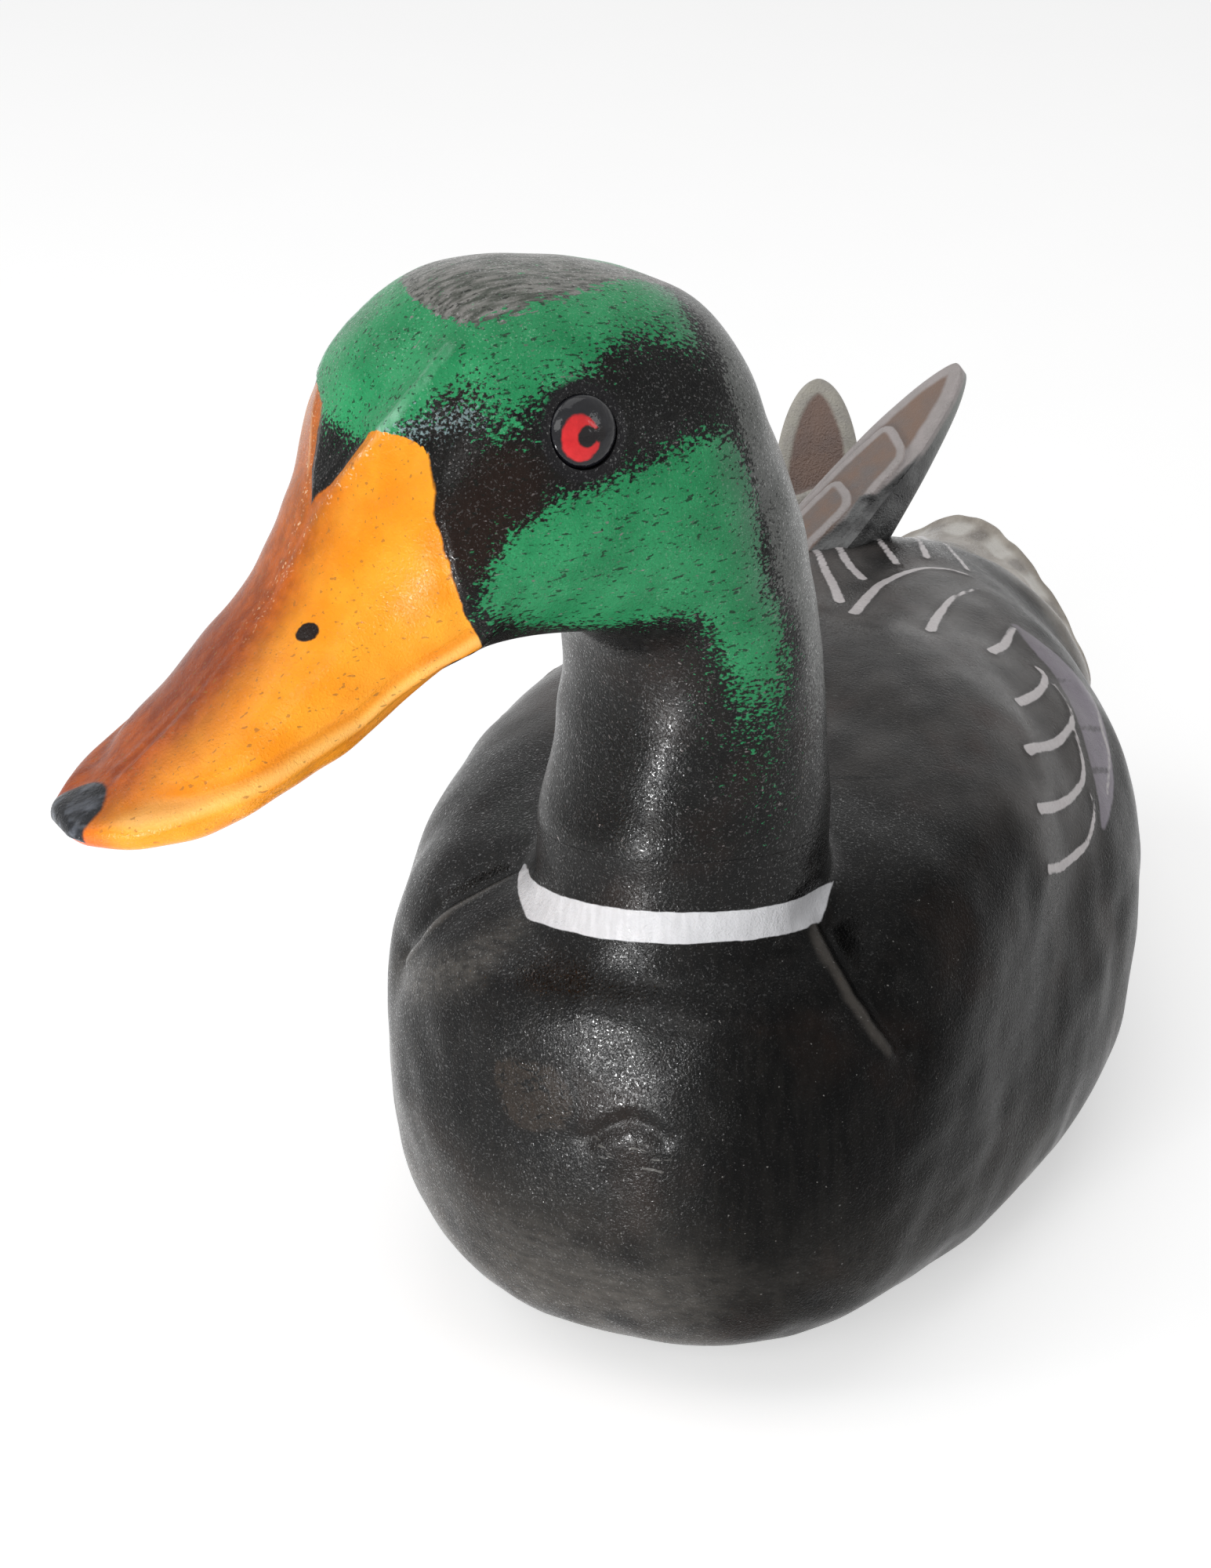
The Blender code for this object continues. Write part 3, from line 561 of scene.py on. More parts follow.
def make_body():
    """The body with its neck stump, tail fan, and the openings for the line's eye and the bottom board."""
    rings = carve_body(loft(BODY_STATIONS, BODY_SEGMENTS, TAIL_ROUND))
    body = make_mesh("duck_body", *skin(rings))
    point, normal = seam_plane(-SEAM_GAP / 2)
    up_neck = normal.to_track_quat("Z", "Y").to_matrix()
    stump = column([(STUMP_RADIUS, 0), (STUMP_RADIUS, STUMP_LENGTH)], point, up_neck)
    well = column(WELL_PROFILE, WELL_PLACE, segments=64)
    angle = np.linspace(0, 2 * math.pi, 96, endpoint=False)
    side = REBATE_SIZE[0] * rounded(np.sin(angle), REBATE_BOXINESS)
    forward = REBATE_FORWARD + REBATE_SIZE[1] * rounded(np.cos(angle), REBATE_BOXINESS)
    oval = np.stack([side, -forward, 0 * angle], axis=1)
    rebate = np.array([oval + (0, 0, height) for height in (-5, REBATE_DEPTH)])
    trim(body, (0, 0, 0), (0, 0, 1))
    cut(body, [stump, well, rebate])

    points = points_of(body)
    flat = mirrored(points)
    side, forward, up = plain(points).T
    store(
        body,
        collar=collar(points),
        seam=seam_distance(points, 0) + 9 * (forward < 30),  # not where its plane meets the tail
        marks=wing_marks(points),
        speculum=stroke_distance(flat, SPECULUM, SPECULUM_RADII),
        bars=np.min([stroke_distance(flat, path, (0.8, 0.7)) for path in SPECULUM_BARS], axis=0),
        border=stroke_distance(flat, SPECULUM_EDGE, (0.5, 0.9, 0.9, 0.4)),
        wing=polygon_depth(flat[:, :2], WING_AREA) - 40 * (up < 60),
        feather=0.5 * FAN_FEATHERS * side / FAN_HALF_WIDTH,
        rim=tail_rim(side, forward),
        groove_lip=distance_to_path(flat, GROOVE_LIP),
        patch=np.linalg.norm((plain(points) - PATCH) / PATCH_SHAPE, axis=1) - PATCH_RADIUS,
        aside=side,
        crease=distance_to_path(plain(points), BREAST_CREASE),
        scratched=distance_to_path(plain(points), SCRATCHED) - 4,
    )
    sharpen(body, 40)
    return body


def tail_rim(side, forward):
    """Distance ahead of the fan's rounded rear edge."""
    across = np.minimum(np.abs(side) / FAN_HALF_WIDTH, 1) ** FAN_POINT
    return forward - FAN_RIM + FAN_ROUND * (1 - across)


def seam_distance(points, offset):
    """Distance from the glue joint, which shows less on the right."""
    point, normal = seam_plane(offset)
    right = 1 - smooth_step(-4, 8, points[:, 0])
    return np.abs((points - point) @ np.array(normal)) + 0.4 * right


def collar(points):
    """Distance from the edge of the white neck ring, negative inside. The ring is open behind the neck."""
    across = points[:, :2] - (NECK_BASE[0] - 1.5, -NECK_BASE[1])
    towards, tilt = math.radians(SEAM_TILT_TOWARDS), math.radians(COLLAR_TILT)
    ahead = across @ (math.sin(towards), -math.cos(towards))
    band = np.abs(points[:, 2] - COLLAR_LEVEL - ahead * math.tan(tilt)) * math.cos(tilt) - COLLAR_WIDTH / 2
    return np.maximum(band, np.maximum(np.linalg.norm(across, axis=1) - COLLAR_REACH, -22 - ahead))


def make_head():
    """The head and neck block with its eyes. Both are made looking straight ahead and then turned."""
    head = make_mesh("duck_head", *skin(carve_head(loft(HEAD_STATIONS, HEAD_SEGMENTS, BILL_ROUND))))
    frame = head_frame()
    straight = frame.inverted()
    point, normal = seam_plane(SEAM_GAP / 2)
    trim(head, straight @ point, straight.to_3x3() @ normal)
    tree = BVHTree.FromObject(head, bpy.context.evaluated_depsgraph_get())
    eyes, seats = [], []
    for name, sign in (("duck_left_eye", 1), ("duck_right_eye", -1)):
        beside = Vector((sign * 100, -EYE_FORWARD, EYE_HEIGHT)) * MM
        spot, out = tree.ray_cast(beside, (-sign, 0, 0))[:2]
        out = (out * 0.4 + Vector((sign, -0.05, 0.12)).normalized() * 0.6).normalized()
        turn = out.to_track_quat("Z", "Y").to_matrix()
        at = spot / MM - out * 0.5
        bore = EYE_RADIUS + 0.05
        seats.append(column([(bore, -EYE_SEAT), (bore, 6)], at, turn))
        eyes.append(make_eye(name, at, turn))
    cut(head, seats)

    points = points_of(head)
    flat = mirrored(points)
    side, forward, up = plain(points).T
    profile = flat[:, 1:]
    world = points @ np.array(frame.to_3x3()).T + np.array(frame.translation)
    green = np.maximum(polygon_depth(profile, GREEN_UPPER), polygon_depth(profile, GREEN_LOWER))
    to_eye = np.linalg.norm(profile - (EYE_FORWARD, EYE_HEIGHT), axis=-1)
    store(
        head,
        collar=collar(world),
        seam=seam_distance(world, SEAM_GAP / 2),
        bill=bill_side(side, forward, up),
        # less green and more black stipple by the ridge, partly painted shade of the facet turned from the
        # light
        green=green - 7 * hump(distance_to_path(flat, STIPPLED_AND_SHADED), 0, 8),
        crown=np.where(up > 215, read_off(CROWN_HALF_WIDTH, forward) - np.abs(side), -20),
        nape=read_off(NAPE_LINE, up) - forward,
        mouth=up - read_off(MOUTH_PATH, forward),
        culmen=distance_to_path(flat, CULMEN) - 15 * smooth_step(0, 6, -side),
        ridge=distance_to_path(flat, FACET_RIDGE),
        sheen=distance_to_path(flat, SHEEN),
        aside=side,
        brown=distance_to_path(flat, THIN_BLACK),
        nostril=nostril_distance(points),
        nail=np.where(up > 143.5, nail_distance(side, forward), 2),
        ahead=forward,
        height=up,
        to_eye=np.where(np.abs(side) > 15, to_eye, 40),
    )
    frame.translation *= MM
    for piece in (head, *eyes):
        piece.data.transform(frame)
    sharpen(head, 40)
    return head, eyes


def make_eye(name, at, turn):
    """A domed bead with the painted iris' place on it."""
    bend = np.linspace(0, math.pi / 2, 15)[:-1]
    dome = [(EYE_RADIUS * math.cos(a), EYE_DOME * math.sin(a)) for a in bend]
    eye = make_mesh(name, *skin(column([(EYE_RADIUS, -EYE_SEAT + 0.1)] + dome, at, turn)))
    _, rearward, upward = (points_of(eye) - np.array(at)).T
    store(eye, across=rearward, above=upward)
    return eye


TIP_WIDTH, TIP_EDGE, TIP_DEPTH, TIP_TENON, TIP_END = 11, 3, 20, 10, 6
FEATHERS = [  # outlines of the two feathers laid on a wing tip, as (along, across)
    [(-30, -10.2), (20, -9.2), (37, -7.4), (49.3, -4.8), (47.6, 1.5), (44.9, 7.5), (40.2, 8.3),
     (31.8, 8), (-30, 6.5)],
    [(-30, -7.4), (21.7, -6.4), (30.9, -4.8), (28.7, 4.6), (24.2, 5.8), (15.5, 4.2), (-30, 3.5)],
]
FALL = [  # where the near side drops, painted in shade
    (47, 9.6), (38, 8.8), (32, 8.2), (29.5, 5.4), (24.2, 6.1), (15.5, 4.5), (-30, 3.8), (-30, 20),
    (47, 20),
]
WING_TIPS = {  # root, end, which side of the blade is the outer one, how far its feathers are set back
    "duck_right_wing_tip": ((-28.5, -80, 93), (4, -124, 137), 1, 0),
    "duck_left_wing_tip": ((-26, -112, 86), (-33, -133, 125), -1, 30),
}


def make_wing_tip(name, root, end, hand, back):
    """A crossed wing tip: a tapering blade with a deep root and two smaller feathers laid on it."""
    root, end = plain(np.array((root, end)))
    length = np.linalg.norm(end - root)
    axis = (end - root) / length
    across = np.cross(axis, (0, 0, 1))
    across /= np.linalg.norm(across)
    frame = np.array([axis, across, np.cross(across, axis)])
    straight = np.linspace(-TIP_TENON, length - TIP_END, 110)
    stops = np.concatenate([straight, length - TIP_END * np.linspace(1, 0, 24)[1:] ** 2])
    t = np.clip(stops / length, 0, 1)
    half = TIP_WIDTH * (1 - t**3) ** 0.56 + 0.4
    outline = np.concatenate([np.stack([stops, half], 1), np.stack([stops, -half], 1)[::-1]])[::4]
    spread = np.cos(np.linspace(0, math.pi, 56))
    w = half[:, None] * spread  # across the blade
    u = np.repeat(stops[:, None], len(spread), axis=1)  # along it
    place = np.stack([u + back, w * hand], axis=-1)  # the same, as the feathers' outlines count it
    outlines = [softened(feather, 1.8, 0.7) for feather in FEATHERS]
    lift = sum(0.9 * smooth_step(-0.5, 0.5, polygon_depth(place, feather)) for feather in outlines)
    lift -= 0.9 * np.abs(spread) ** 9 + 1.2 * smooth_step(0, 1.4, polygon_depth(place, FALL))
    deep = (TIP_EDGE + (TIP_DEPTH - TIP_EDGE) * (1 - t))[:, None]
    under = -deep * (1 - np.abs(spread) ** 7) ** 0.8 - 0.9
    upper, lower = np.stack([u, w, lift], axis=-1), np.stack([u, w, under], axis=-1)
    shape = np.concatenate([upper, lower[:, -2:0:-1]], axis=1) @ frame + root
    shape += 0.12 * unevenness(shape, 8, 9)[..., None] * frame[2]
    blade = make_mesh(name, *skin(shape))
    local = (points_of(blade) - root) @ frame.T
    place = local[:, :2] * (1, hand) + (back, 0)
    store(
        blade,
        along=local[:, 0],
        edge=polygon_depth(local[:, :2], outline),
        feather_1=polygon_depth(place, outlines[0]),
        feather_2=polygon_depth(place, outlines[1]),
        fall=polygon_depth(place, FALL),
        top=smooth_step(-2.6, -1.9, local[:, 2]),
    )
    sharpen(blade, 50)
    return blade


# ---------------------------------------- materials


def srgb(red, green, blue):
    """A colour for the shaders from its 0-255 screen values."""
    return tuple(((c / 255 + 0.055) / 1.055) ** 2.4 for c in (red, green, blue)) + (1,)


class Nodes:
    """Short names for building the nodes of one material or world. Colour is what has been painted so far."""

    def __init__(self, name, kind="materials"):
        self.owner = getattr(bpy.data, kind).new(name)
        self.owner.use_nodes = True
        self.tree = self.owner.node_tree
        self.tree.nodes.clear()
        self.colour = None

    def put(self, socket, value):
        """Links a socket or sets its own value. Three numbers are a colour's screen values."""
        if isinstance(value, bpy.types.NodeSocket):
            self.tree.links.new(value, socket)
        else:
            socket.default_value = srgb(*value) if socket.type == "RGBA" and len(value) == 3 else value

    def add(self, kind, inputs, **settings):
        node = self.tree.nodes.new("ShaderNode" + kind)
        for key, value in settings.items():
            setattr(node, key, value)
        for key, value in inputs.items():
            self.put(node.inputs[key], value)
        return node

    def field(self, name):
        return self.add("Attribute", {}, attribute_name=name).outputs["Fac"]

    def math(self, operation, first, second=0):
        return self.add("Math", {0: first, 1: second}, operation=operation).outputs[0]

    def plus(self, first, second):
        return self.math("ADD", first, second)

    def times(self, first, second):
        return self.math("MULTIPLY", first, second)

    def away(self, value, middle=0):
        """How far a value is from the middle."""
        return self.math("ABSOLUTE", self.plus(value, -middle) if middle else value)

    def ramp(self, value, low, high, at_low=0, at_high=1):
        """Goes smoothly from at_low to at_high while the value goes from low up to high."""
        inputs = {"Value": value, "From Min": low, "From Max": high, "To Min": at_low, "To Max": at_high}
        return self.add("MapRange", inputs, interpolation_type="SMOOTHSTEP").outputs["Result"]

    def fall(self, value, low, high, top=1):
        return self.ramp(value, low, high, top, 0)

    def noise(self, size, detail=2, stretch=(1, 1, 1), shift=0, distortion=0, place=None):
        """Noise about 0 to 1 round 0.5, with patches about size millimetres wide, longer where stretch is
        small. Place, if given, is in millimetres."""
        scale = tuple(s / size for s in stretch)
        if place is None:
            place = self.add("TexCoord", {}).outputs["Object"]
            scale = tuple(s / MM for s in scale)
        inputs = {"Vector": place, "Scale": scale, "Location": (shift, shift, shift)}
        moved = self.add("Mapping", inputs).outputs[0]
        inputs = {"Vector": moved, "Scale": 1, "Detail": detail, "Distortion": distortion}
        return self.add("TexNoise", inputs).outputs["Fac"]

    def unsteady(self, reach, size=3, shift=0):
        return self.times(self.plus(self.noise(size, 3, shift=shift), -0.5), 2 * reach)

    def edge(self, name, reach, size=3, scale=None):
        """A stored distance with a hand's unsteadiness, which goes reach millimetres to each side."""
        distance = self.field(name) if scale is None else self.times(self.field(name), scale)
        return self.plus(distance, self.unsteady(reach, size))

    def inside(self, distance, soft=0.15):
        """1 inside an edge and 0 outside, from a distance in millimetres."""
        return self.fall(distance, -soft, soft)

    def mix(self, amount, first, second):
        node = self.tree.nodes.new("ShaderNodeMix")
        node.data_type = "RGBA"
        for index, value in ((0, amount), (6, first), (7, second)):
            self.put(node.inputs[index], value)
        return node.outputs[2]

    def paint(self, amount, colour, strength=None):
        """Lays a colour over what is painted so far."""
        if strength is not None:
            amount = self.times(amount, strength)
        self.colour = self.mix(amount, self.colour, colour)

    def bump(self, height, depth):
        """Relief of about depth millimetres."""
        return self.add("Bump", {"Height": height, "Distance": depth * MM, "Strength": 1}).outputs[0]

    def seen(self):
        """1 for what the camera sees, straight or in a mirror or through glass, and 0 for light."""
        rays = self.add("LightPath", {}).outputs
        direct = self.math("MAXIMUM", rays["Is Camera Ray"], rays["Is Glossy Ray"])
        return self.math("MAXIMUM", direct, rays["Is Transmission Ray"])

    def level(self):
        """Height above the floor in millimetres."""
        place = self.add("SeparateXYZ", {"Vector": self.add("TexCoord", {}).outputs["Object"]})
        return self.times(place.outputs["Z"], 1 / MM)

    def finish(self, roughness, normal, metallic=0, specular=0.5, coat=0):
        inputs = {"Base Color": self.colour, "Roughness": roughness, "Metallic": metallic,
                  "Specular IOR Level": specular, "Coat Weight": coat, "Coat Roughness": 0.10,
                  "Normal": normal, "Coat Normal": normal}
        self.add("OutputMaterial", {"Surface": self.add("BsdfPrincipled", inputs).outputs[0]})
        return self.owner


def lacquer_relief(n):
    """Brushed, dusty lacquer: fine grains, pinholes and slow waves."""
    grains = n.ramp(n.noise(0.5, 2), 0.40, 0.72)
    pits = n.ramp(n.noise(1.3, 2, shift=17), 0.30, 0.42)
    waves = n.noise(7, 3)
    return n.plus(n.plus(n.times(grains, 0.5), n.times(pits, 0.5)), n.times(waves, 1.8))


def glints(n):
    """Where the lacquer is thick and glassy."""
    return n.ramp(n.noise(0.45, 1, shift=21), 0.61, 0.68)


def speckle(n, size, cover, shift=0, soft=0.04, stretch=(1, 1, 1), place=None):
    """1 over a share of the surface given by cover, in sponged flecks about size millimetres wide."""
    level = n.noise(size, 4, stretch, shift, place=place)
    threshold = n.ramp(cover, 0, 1, 0.70, 0.30)
    difference = n.math("SUBTRACT", level, threshold)
    return n.add("MapRange", {"Value": difference, "From Min": -soft, "From Max": soft}).outputs["Result"]


def paint_collar(n):
    """The white neck ring in brushed paint."""
    ring = n.inside(n.edge("collar", 0.35, 4))
    strokes = n.noise(1.6, 3, (1, 1, 0.15), 5)
    n.paint(ring, n.mix(n.ramp(strokes, 0.3, 0.7), (200, 200, 203), (214, 214, 217)))
    return ring


def paint_seam(n):
    """The glue joint's hairline crack."""
    crack = n.inside(n.plus(n.plus(n.field("seam"), -0.16), n.unsteady(0.22, 2.2, 7)), 0.1)
    n.paint(crack, (8, 7, 7), 0.9)


def paint_black_ground(n):
    """Black paint with upright brush streaks, worn thin so that the wood warms it in places."""
    brown = n.ramp(n.noise(24, 5, shift=2), 0.52, 0.75, 0, 0.7)
    streaks = n.noise(2, 4, (1, 1, 0.14), 3)
    n.colour = n.mix(n.ramp(streaks, 0.35, 0.75), (8, 8, 8), (20, 19, 18))
    n.paint(brown, n.mix(n.noise(1.5, 3), (24, 18, 16), (44, 32, 26)))


def paint_breast(n, up, aside):
    """Grey scumble low on the body, strongest near the floor, which also serves as a painted reflection of
    the pale floor; the worn patch with its cracks; and a painted highlight along the crease beside it.
    """
    # real grey scumble that also stands as a painted reflection of the pale floor, strongest near the floor
    scumble_and_floor_reflection = n.times(n.fall(up, 14, 60), n.ramp(n.noise(22, 5, shift=9), 0.34, 0.56))
    scumble_and_floor_reflection = n.times(scumble_and_floor_reflection, n.ramp(aside, 6, 34, 1, 0.35))
    hair = n.noise(1.4, 4, (0.35, 1, 1), 9)
    n.paint(scumble_and_floor_reflection, (92, 88, 83), n.ramp(hair, 0.2, 0.8, 0.35, 0.85))
    worn = n.edge("patch", 3.5, 7)
    cracks = n.away(n.noise(6, 3, shift=14, distortion=1), 0.5)
    bark = n.mix(n.noise(2, 4), (20, 17, 15), (52, 43, 35))
    n.paint(n.inside(worn, 1.2), n.mix(n.ramp(cracks, 0.008, 0.022), (6, 5, 4), bark), 0.85)
    n.paint(n.fall(n.away(worn), 0.2, 1.6, 0.85), (6, 5, 4))
    # painted highlight along the ridge of the breast crease, in pale brushed grey
    crease = n.fall(n.edge("crease", 2.5, 8), 0, 8)
    n.paint(crease, (80, 77, 73), n.ramp(hair, 0.25, 0.75, 0.15, 0.75))


def paint_back(n, wing):
    """The wings' brushed grey-brown, a painted highlight on the lip of the shoulder grooves, and scratches on
    the breast.
    """
    brushed = n.noise(11, 5, (1.2, 0.7, 1), 1)
    feathers = n.mix(n.ramp(brushed, 0.35, 0.7), (32, 30, 29), (56, 53, 51))
    warm = n.ramp(n.noise(18, 3, shift=4), 0.52, 0.75, 0, 0.5)
    n.paint(wing, n.mix(warm, feathers, (58, 42, 38)))
    # painted highlight along the lip of the shoulder grooves
    n.paint(n.fall(n.edge("groove_lip", 0.8, 4), 0.2, 2.2, 0.35), (120, 114, 108))
    scratches = n.ramp(n.noise(0.8, 2, (0.2, 1, 1), 31), 0.60, 0.66)
    n.paint(scratches, (150, 148, 144), n.fall(n.field("scratched"), -2, 1, 0.3))


def paint_tail(n):
    """The dun fan, with pale feather tips and painted shade in the valleys between the feathers."""
    rim = n.field("rim")
    near_tail = n.fall(n.plus(rim, n.unsteady(5, 9)), 22, 46)
    barbs = n.ramp(n.noise(9, 4, (2, 0.5, 1)), 0.35, 0.7)
    n.paint(near_tail, n.mix(barbs, (156, 147, 136), (190, 182, 171)))
    phase = n.math("FRACT", n.plus(n.edge("feather", 0.12, 7), 40.5))
    middle = n.away(phase, 0.5)
    inward = n.away(n.plus(rim, n.unsteady(1.5, 5)), 9)
    tip = n.times(n.fall(middle, 0.15, 0.34), n.fall(inward, 3.5, 8))
    n.paint(tip, (222, 218, 210), 0.85)
    # painted shade in the valleys between the feathers
    gap = n.times(n.ramp(middle, 0.30, 0.42), n.fall(inward, 3, 8))
    n.paint(gap, (78, 66, 54), 0.6)


def paint_wing_marks(n, wing):
    """The lilac speculum with its bars and border, and the pale strokes with their halo and outline."""
    lilac = n.mix(n.noise(6, 4), (116, 110, 118), (156, 148, 160))
    n.paint(n.inside(n.edge("speculum", 0.5), 0.5), lilac)
    n.paint(n.inside(n.edge("bars", 0.3), 0.35), (62, 58, 62), 0.75)
    n.paint(n.inside(n.edge("border", 0.3), 0.4), (198, 192, 194))
    n.paint(n.fall(n.edge("marks", 3, 9), 1, 11, 0.32), (116, 112, 110), wing)
    outline = n.times(n.fall(n.field("marks"), 0.2, 1.6), wing)
    n.paint(outline, (34, 31, 31), 0.35)
    stroke = n.inside(n.plus(n.plus(n.field("marks"), 0.2), n.unsteady(0.3, 3)), 0.2)
    n.paint(stroke, n.mix(n.noise(1.6, 3, shift=6), (196, 189, 190), (222, 217, 217)))
    return stroke


def body_paint():
    n = Nodes("black_lacquer_paint")
    up, aside = n.level(), n.field("aside")
    paint_black_ground(n)
    paint_breast(n, up, aside)
    wing = n.ramp(n.edge("wing", 5, 12), -4, 9)
    paint_back(n, wing)
    paint_tail(n)
    stroke = paint_wing_marks(n, wing)
    n.paint(n.ramp(n.noise(0.8, 1, shift=12), 0.765, 0.80), (150, 148, 145), 0.45)
    ring = paint_collar(n)
    paint_seam(n)
    height = n.plus(n.plus(lacquer_relief(n), n.times(stroke, 0.6)), n.times(ring, 0.5))
    roughness = n.ramp(n.noise(12, 3, shift=8), 0.3, 0.7, 0.20, 0.28)
    dull = n.math("MINIMUM", n.ramp(aside, 2, 36), n.fall(up, 98, 107))
    coat = n.times(glints(n), n.ramp(wing, 0, 1, 1, 0.1))
    coat = n.times(coat, n.ramp(dull, 0, 1, 1, 0.2))
    specular = n.ramp(dull, 0, 1, 0.17, 0.06)
    return n.finish(roughness, n.bump(height, 0.09), specular=specular, coat=coat)


def paint_green(n, height, place, cover):
    """The sponged green, paler behind the cheek and darker and thinner down the neck."""
    greens = n.mix(n.ramp(n.noise(9, 3), 0.3, 0.7), (36, 136, 84), (54, 158, 102))
    greens = n.mix(n.fall(height, 168, 218, 0.35), greens, (28, 84, 54))
    cheek = n.times(n.ramp(n.field("nape"), -9, 2), n.ramp(height, 160, 175))
    greens = n.mix(n.times(cheek, 0.6), greens, (96, 124, 110))
    thin = n.ramp(height, 134, 180, 0.30, 1)
    sponged = speckle(n, 0.6, n.times(cover, thin), soft=0.05, stretch=(0.6, 1, 1), place=place)
    n.paint(sponged, greens, n.ramp(cover, 0.02, 0.12))
    return sponged


def paint_nape_and_crown(n, height, place):
    """The grey dusting down the nape and the streaked taupe cap."""
    nape = n.ramp(n.edge("nape", 2, 6), -3, 6)
    nape = n.times(nape, n.ramp(height, 116, 172, 0.10, 1))
    grey = n.mix(n.noise(5, 4), (82, 84, 82), (114, 116, 113))
    dusted = speckle(n, 0.6, n.times(nape, 0.80), 3, place=place)
    n.paint(dusted, grey, n.ramp(nape, 0, 0.2))
    crown = n.ramp(n.edge("crown", 1.5, 4), -5, 3.5)
    strokes = n.noise(1.1, 4, (0.12, 1, 1), 2, place=place)
    taupe = n.mix(n.ramp(strokes, 0.35, 0.65), (78, 72, 71), (142, 135, 134))
    n.paint(speckle(n, 0.7, crown, 5, stretch=(0.4, 1, 1), place=place), taupe, 0.93)


def paint_face(n, place, cover):
    """A painted highlight along the facet ridge, a painted sheen of pale flecks beside it, dark flecks in the
    green, and the dark round the eye.
    """
    # painted highlight along the facet ridge
    n.paint(n.fall(n.edge("ridge", 0.4), 0.3, 1.6, 0.85), (166, 210, 186))
    # painted sheen: pale flecks standing for reflections beside the ridge
    sheen = n.fall(n.edge("sheen", 2, 5), 0, 6)
    pale = speckle(n, 0.6, n.times(sheen, 0.5), 8, place=place)
    n.paint(n.times(pale, n.ramp(sheen, 0, 0.3)), (140, 164, 166), 0.65)
    dots = n.ramp(n.noise(0.75, 2, (0.4, 1, 1), 15, place=place), 0.60, 0.68)
    n.paint(dots, (17, 20, 17), 0.8)
    fine = n.ramp(n.noise(0.4, 2, shift=16), 0.62, 0.70)
    n.paint(fine, (20, 26, 20), n.ramp(cover, 0.3, 0.95, 0.7, 0.25))
    n.paint(n.fall(n.field("to_eye"), 7.6, 8.8), (26, 25, 27))


def paint_bill(n, ahead, height, place):
    """The orange bill with its rusty ridge, a painted highlight and sparkles along its facet ridge, painted
    shade in the mouth line, a painted highlight on the lip roll, nostrils, and the nail with painted streaky
    highlights. Returns where the bill is.
    """
    face = n.colour
    culmen, ridge, mouth = n.field("culmen"), n.field("ridge"), n.field("mouth")
    n.colour = n.mix(n.ramp(n.noise(9, 4), 0.3, 0.7), (238, 142, 26), (248, 160, 42))
    red = n.fall(n.plus(culmen, n.unsteady(1.5, 9)), 0.5, 15)
    worn = n.ramp(n.noise(2.5, 4, (0.3, 1, 1), 3, place=place), 0.3, 0.7)
    rust = n.mix(worn, (146, 62, 14), (186, 88, 24))
    rust = n.mix(n.fall(n.away(ahead, 92), 0, 16, 0.45), rust, (108, 40, 16))
    n.paint(red, rust, n.ramp(ahead, 60, 88, 0.75, 1))
    # painted highlight and sparkles along the bill's facet ridge
    n.paint(n.fall(ridge, 0, 0.9, 0.45), (246, 200, 150), n.fall(ahead, 84, 100))
    painted_sparkles = n.times(n.ramp(n.noise(0.7, 1, shift=23), 0.62, 0.70), n.fall(ridge, 0.6, 2.2, 0.7))
    n.paint(painted_sparkles, (250, 214, 170), n.fall(ahead, 76, 90))
    under_nail = n.times(n.ramp(ahead, 110, 120), n.fall(height, 143, 149))
    n.paint(under_nail, (226, 88, 40), 0.8)
    low = n.ramp(culmen, 8, 13)
    # painted shade in the mouth groove
    n.paint(n.times(n.fall(n.away(mouth), 0.2, 1.6), low), (190, 104, 26), 0.3)
    # painted highlight on the lip roll below the mouth line
    n.paint(n.times(n.fall(n.away(mouth, -2.2), 0, 2.2), low), (255, 204, 120), 0.55)
    dashes = n.ramp(n.noise(0.9, 1, (0.5, 1, 1), 4, place=place), 0.67, 0.72)
    n.paint(dashes, (150, 100, 48), 0.6)
    n.paint(n.inside(n.edge("nostril", 0.25, 2, 2)), (28, 18, 14))
    # dark grey nail with painted streaky highlights
    nail_highlight_streaks = n.ramp(n.noise(3, 3, (0.35, 1, 1), place=place), 0.45, 0.7)
    n.paint(n.inside(n.edge("nail", 0.5, 3, 7), 0.4), n.mix(nail_highlight_streaks, (30, 32, 36), (98, 102, 110)))
    on_bill = n.inside(n.edge("bill", 0.5, 4, -1), 0.2)
    n.colour = n.mix(on_bill, face, n.colour)
    return on_bill


def head_paint():
    n = Nodes("green_lacquer_paint")
    ahead, height = n.field("ahead"), n.field("height")
    place = n.add("CombineXYZ", {"X": ahead, "Y": n.field("aside"), "Z": height}).outputs[0]
    cover = n.ramp(n.edge("green", 2, 6), -6.5, 6.5)
    paint_black_ground(n)
    n.paint(n.fall(n.edge("brown", 3, 6), 2, 11, 0.4), (48, 29, 20))
    sponged = paint_green(n, height, place, cover)
    paint_nape_and_crown(n, height, place)
    paint_face(n, place, cover)
    on_bill = paint_bill(n, ahead, height, place)
    paint_collar(n)
    paint_seam(n)
    relief = n.plus(lacquer_relief(n), n.times(sponged, 0.35))
    roughness = n.ramp(n.noise(10, 3, shift=8), 0.3, 0.7, 0.20, 0.28)
    specular = n.ramp(height, 150, 190, 0.17, 0.12)
    coat = n.times(glints(n), n.ramp(on_bill, 0, 1, 1, 0.3))
    return n.finish(roughness, n.bump(relief, 0.08), specular=specular, coat=coat)


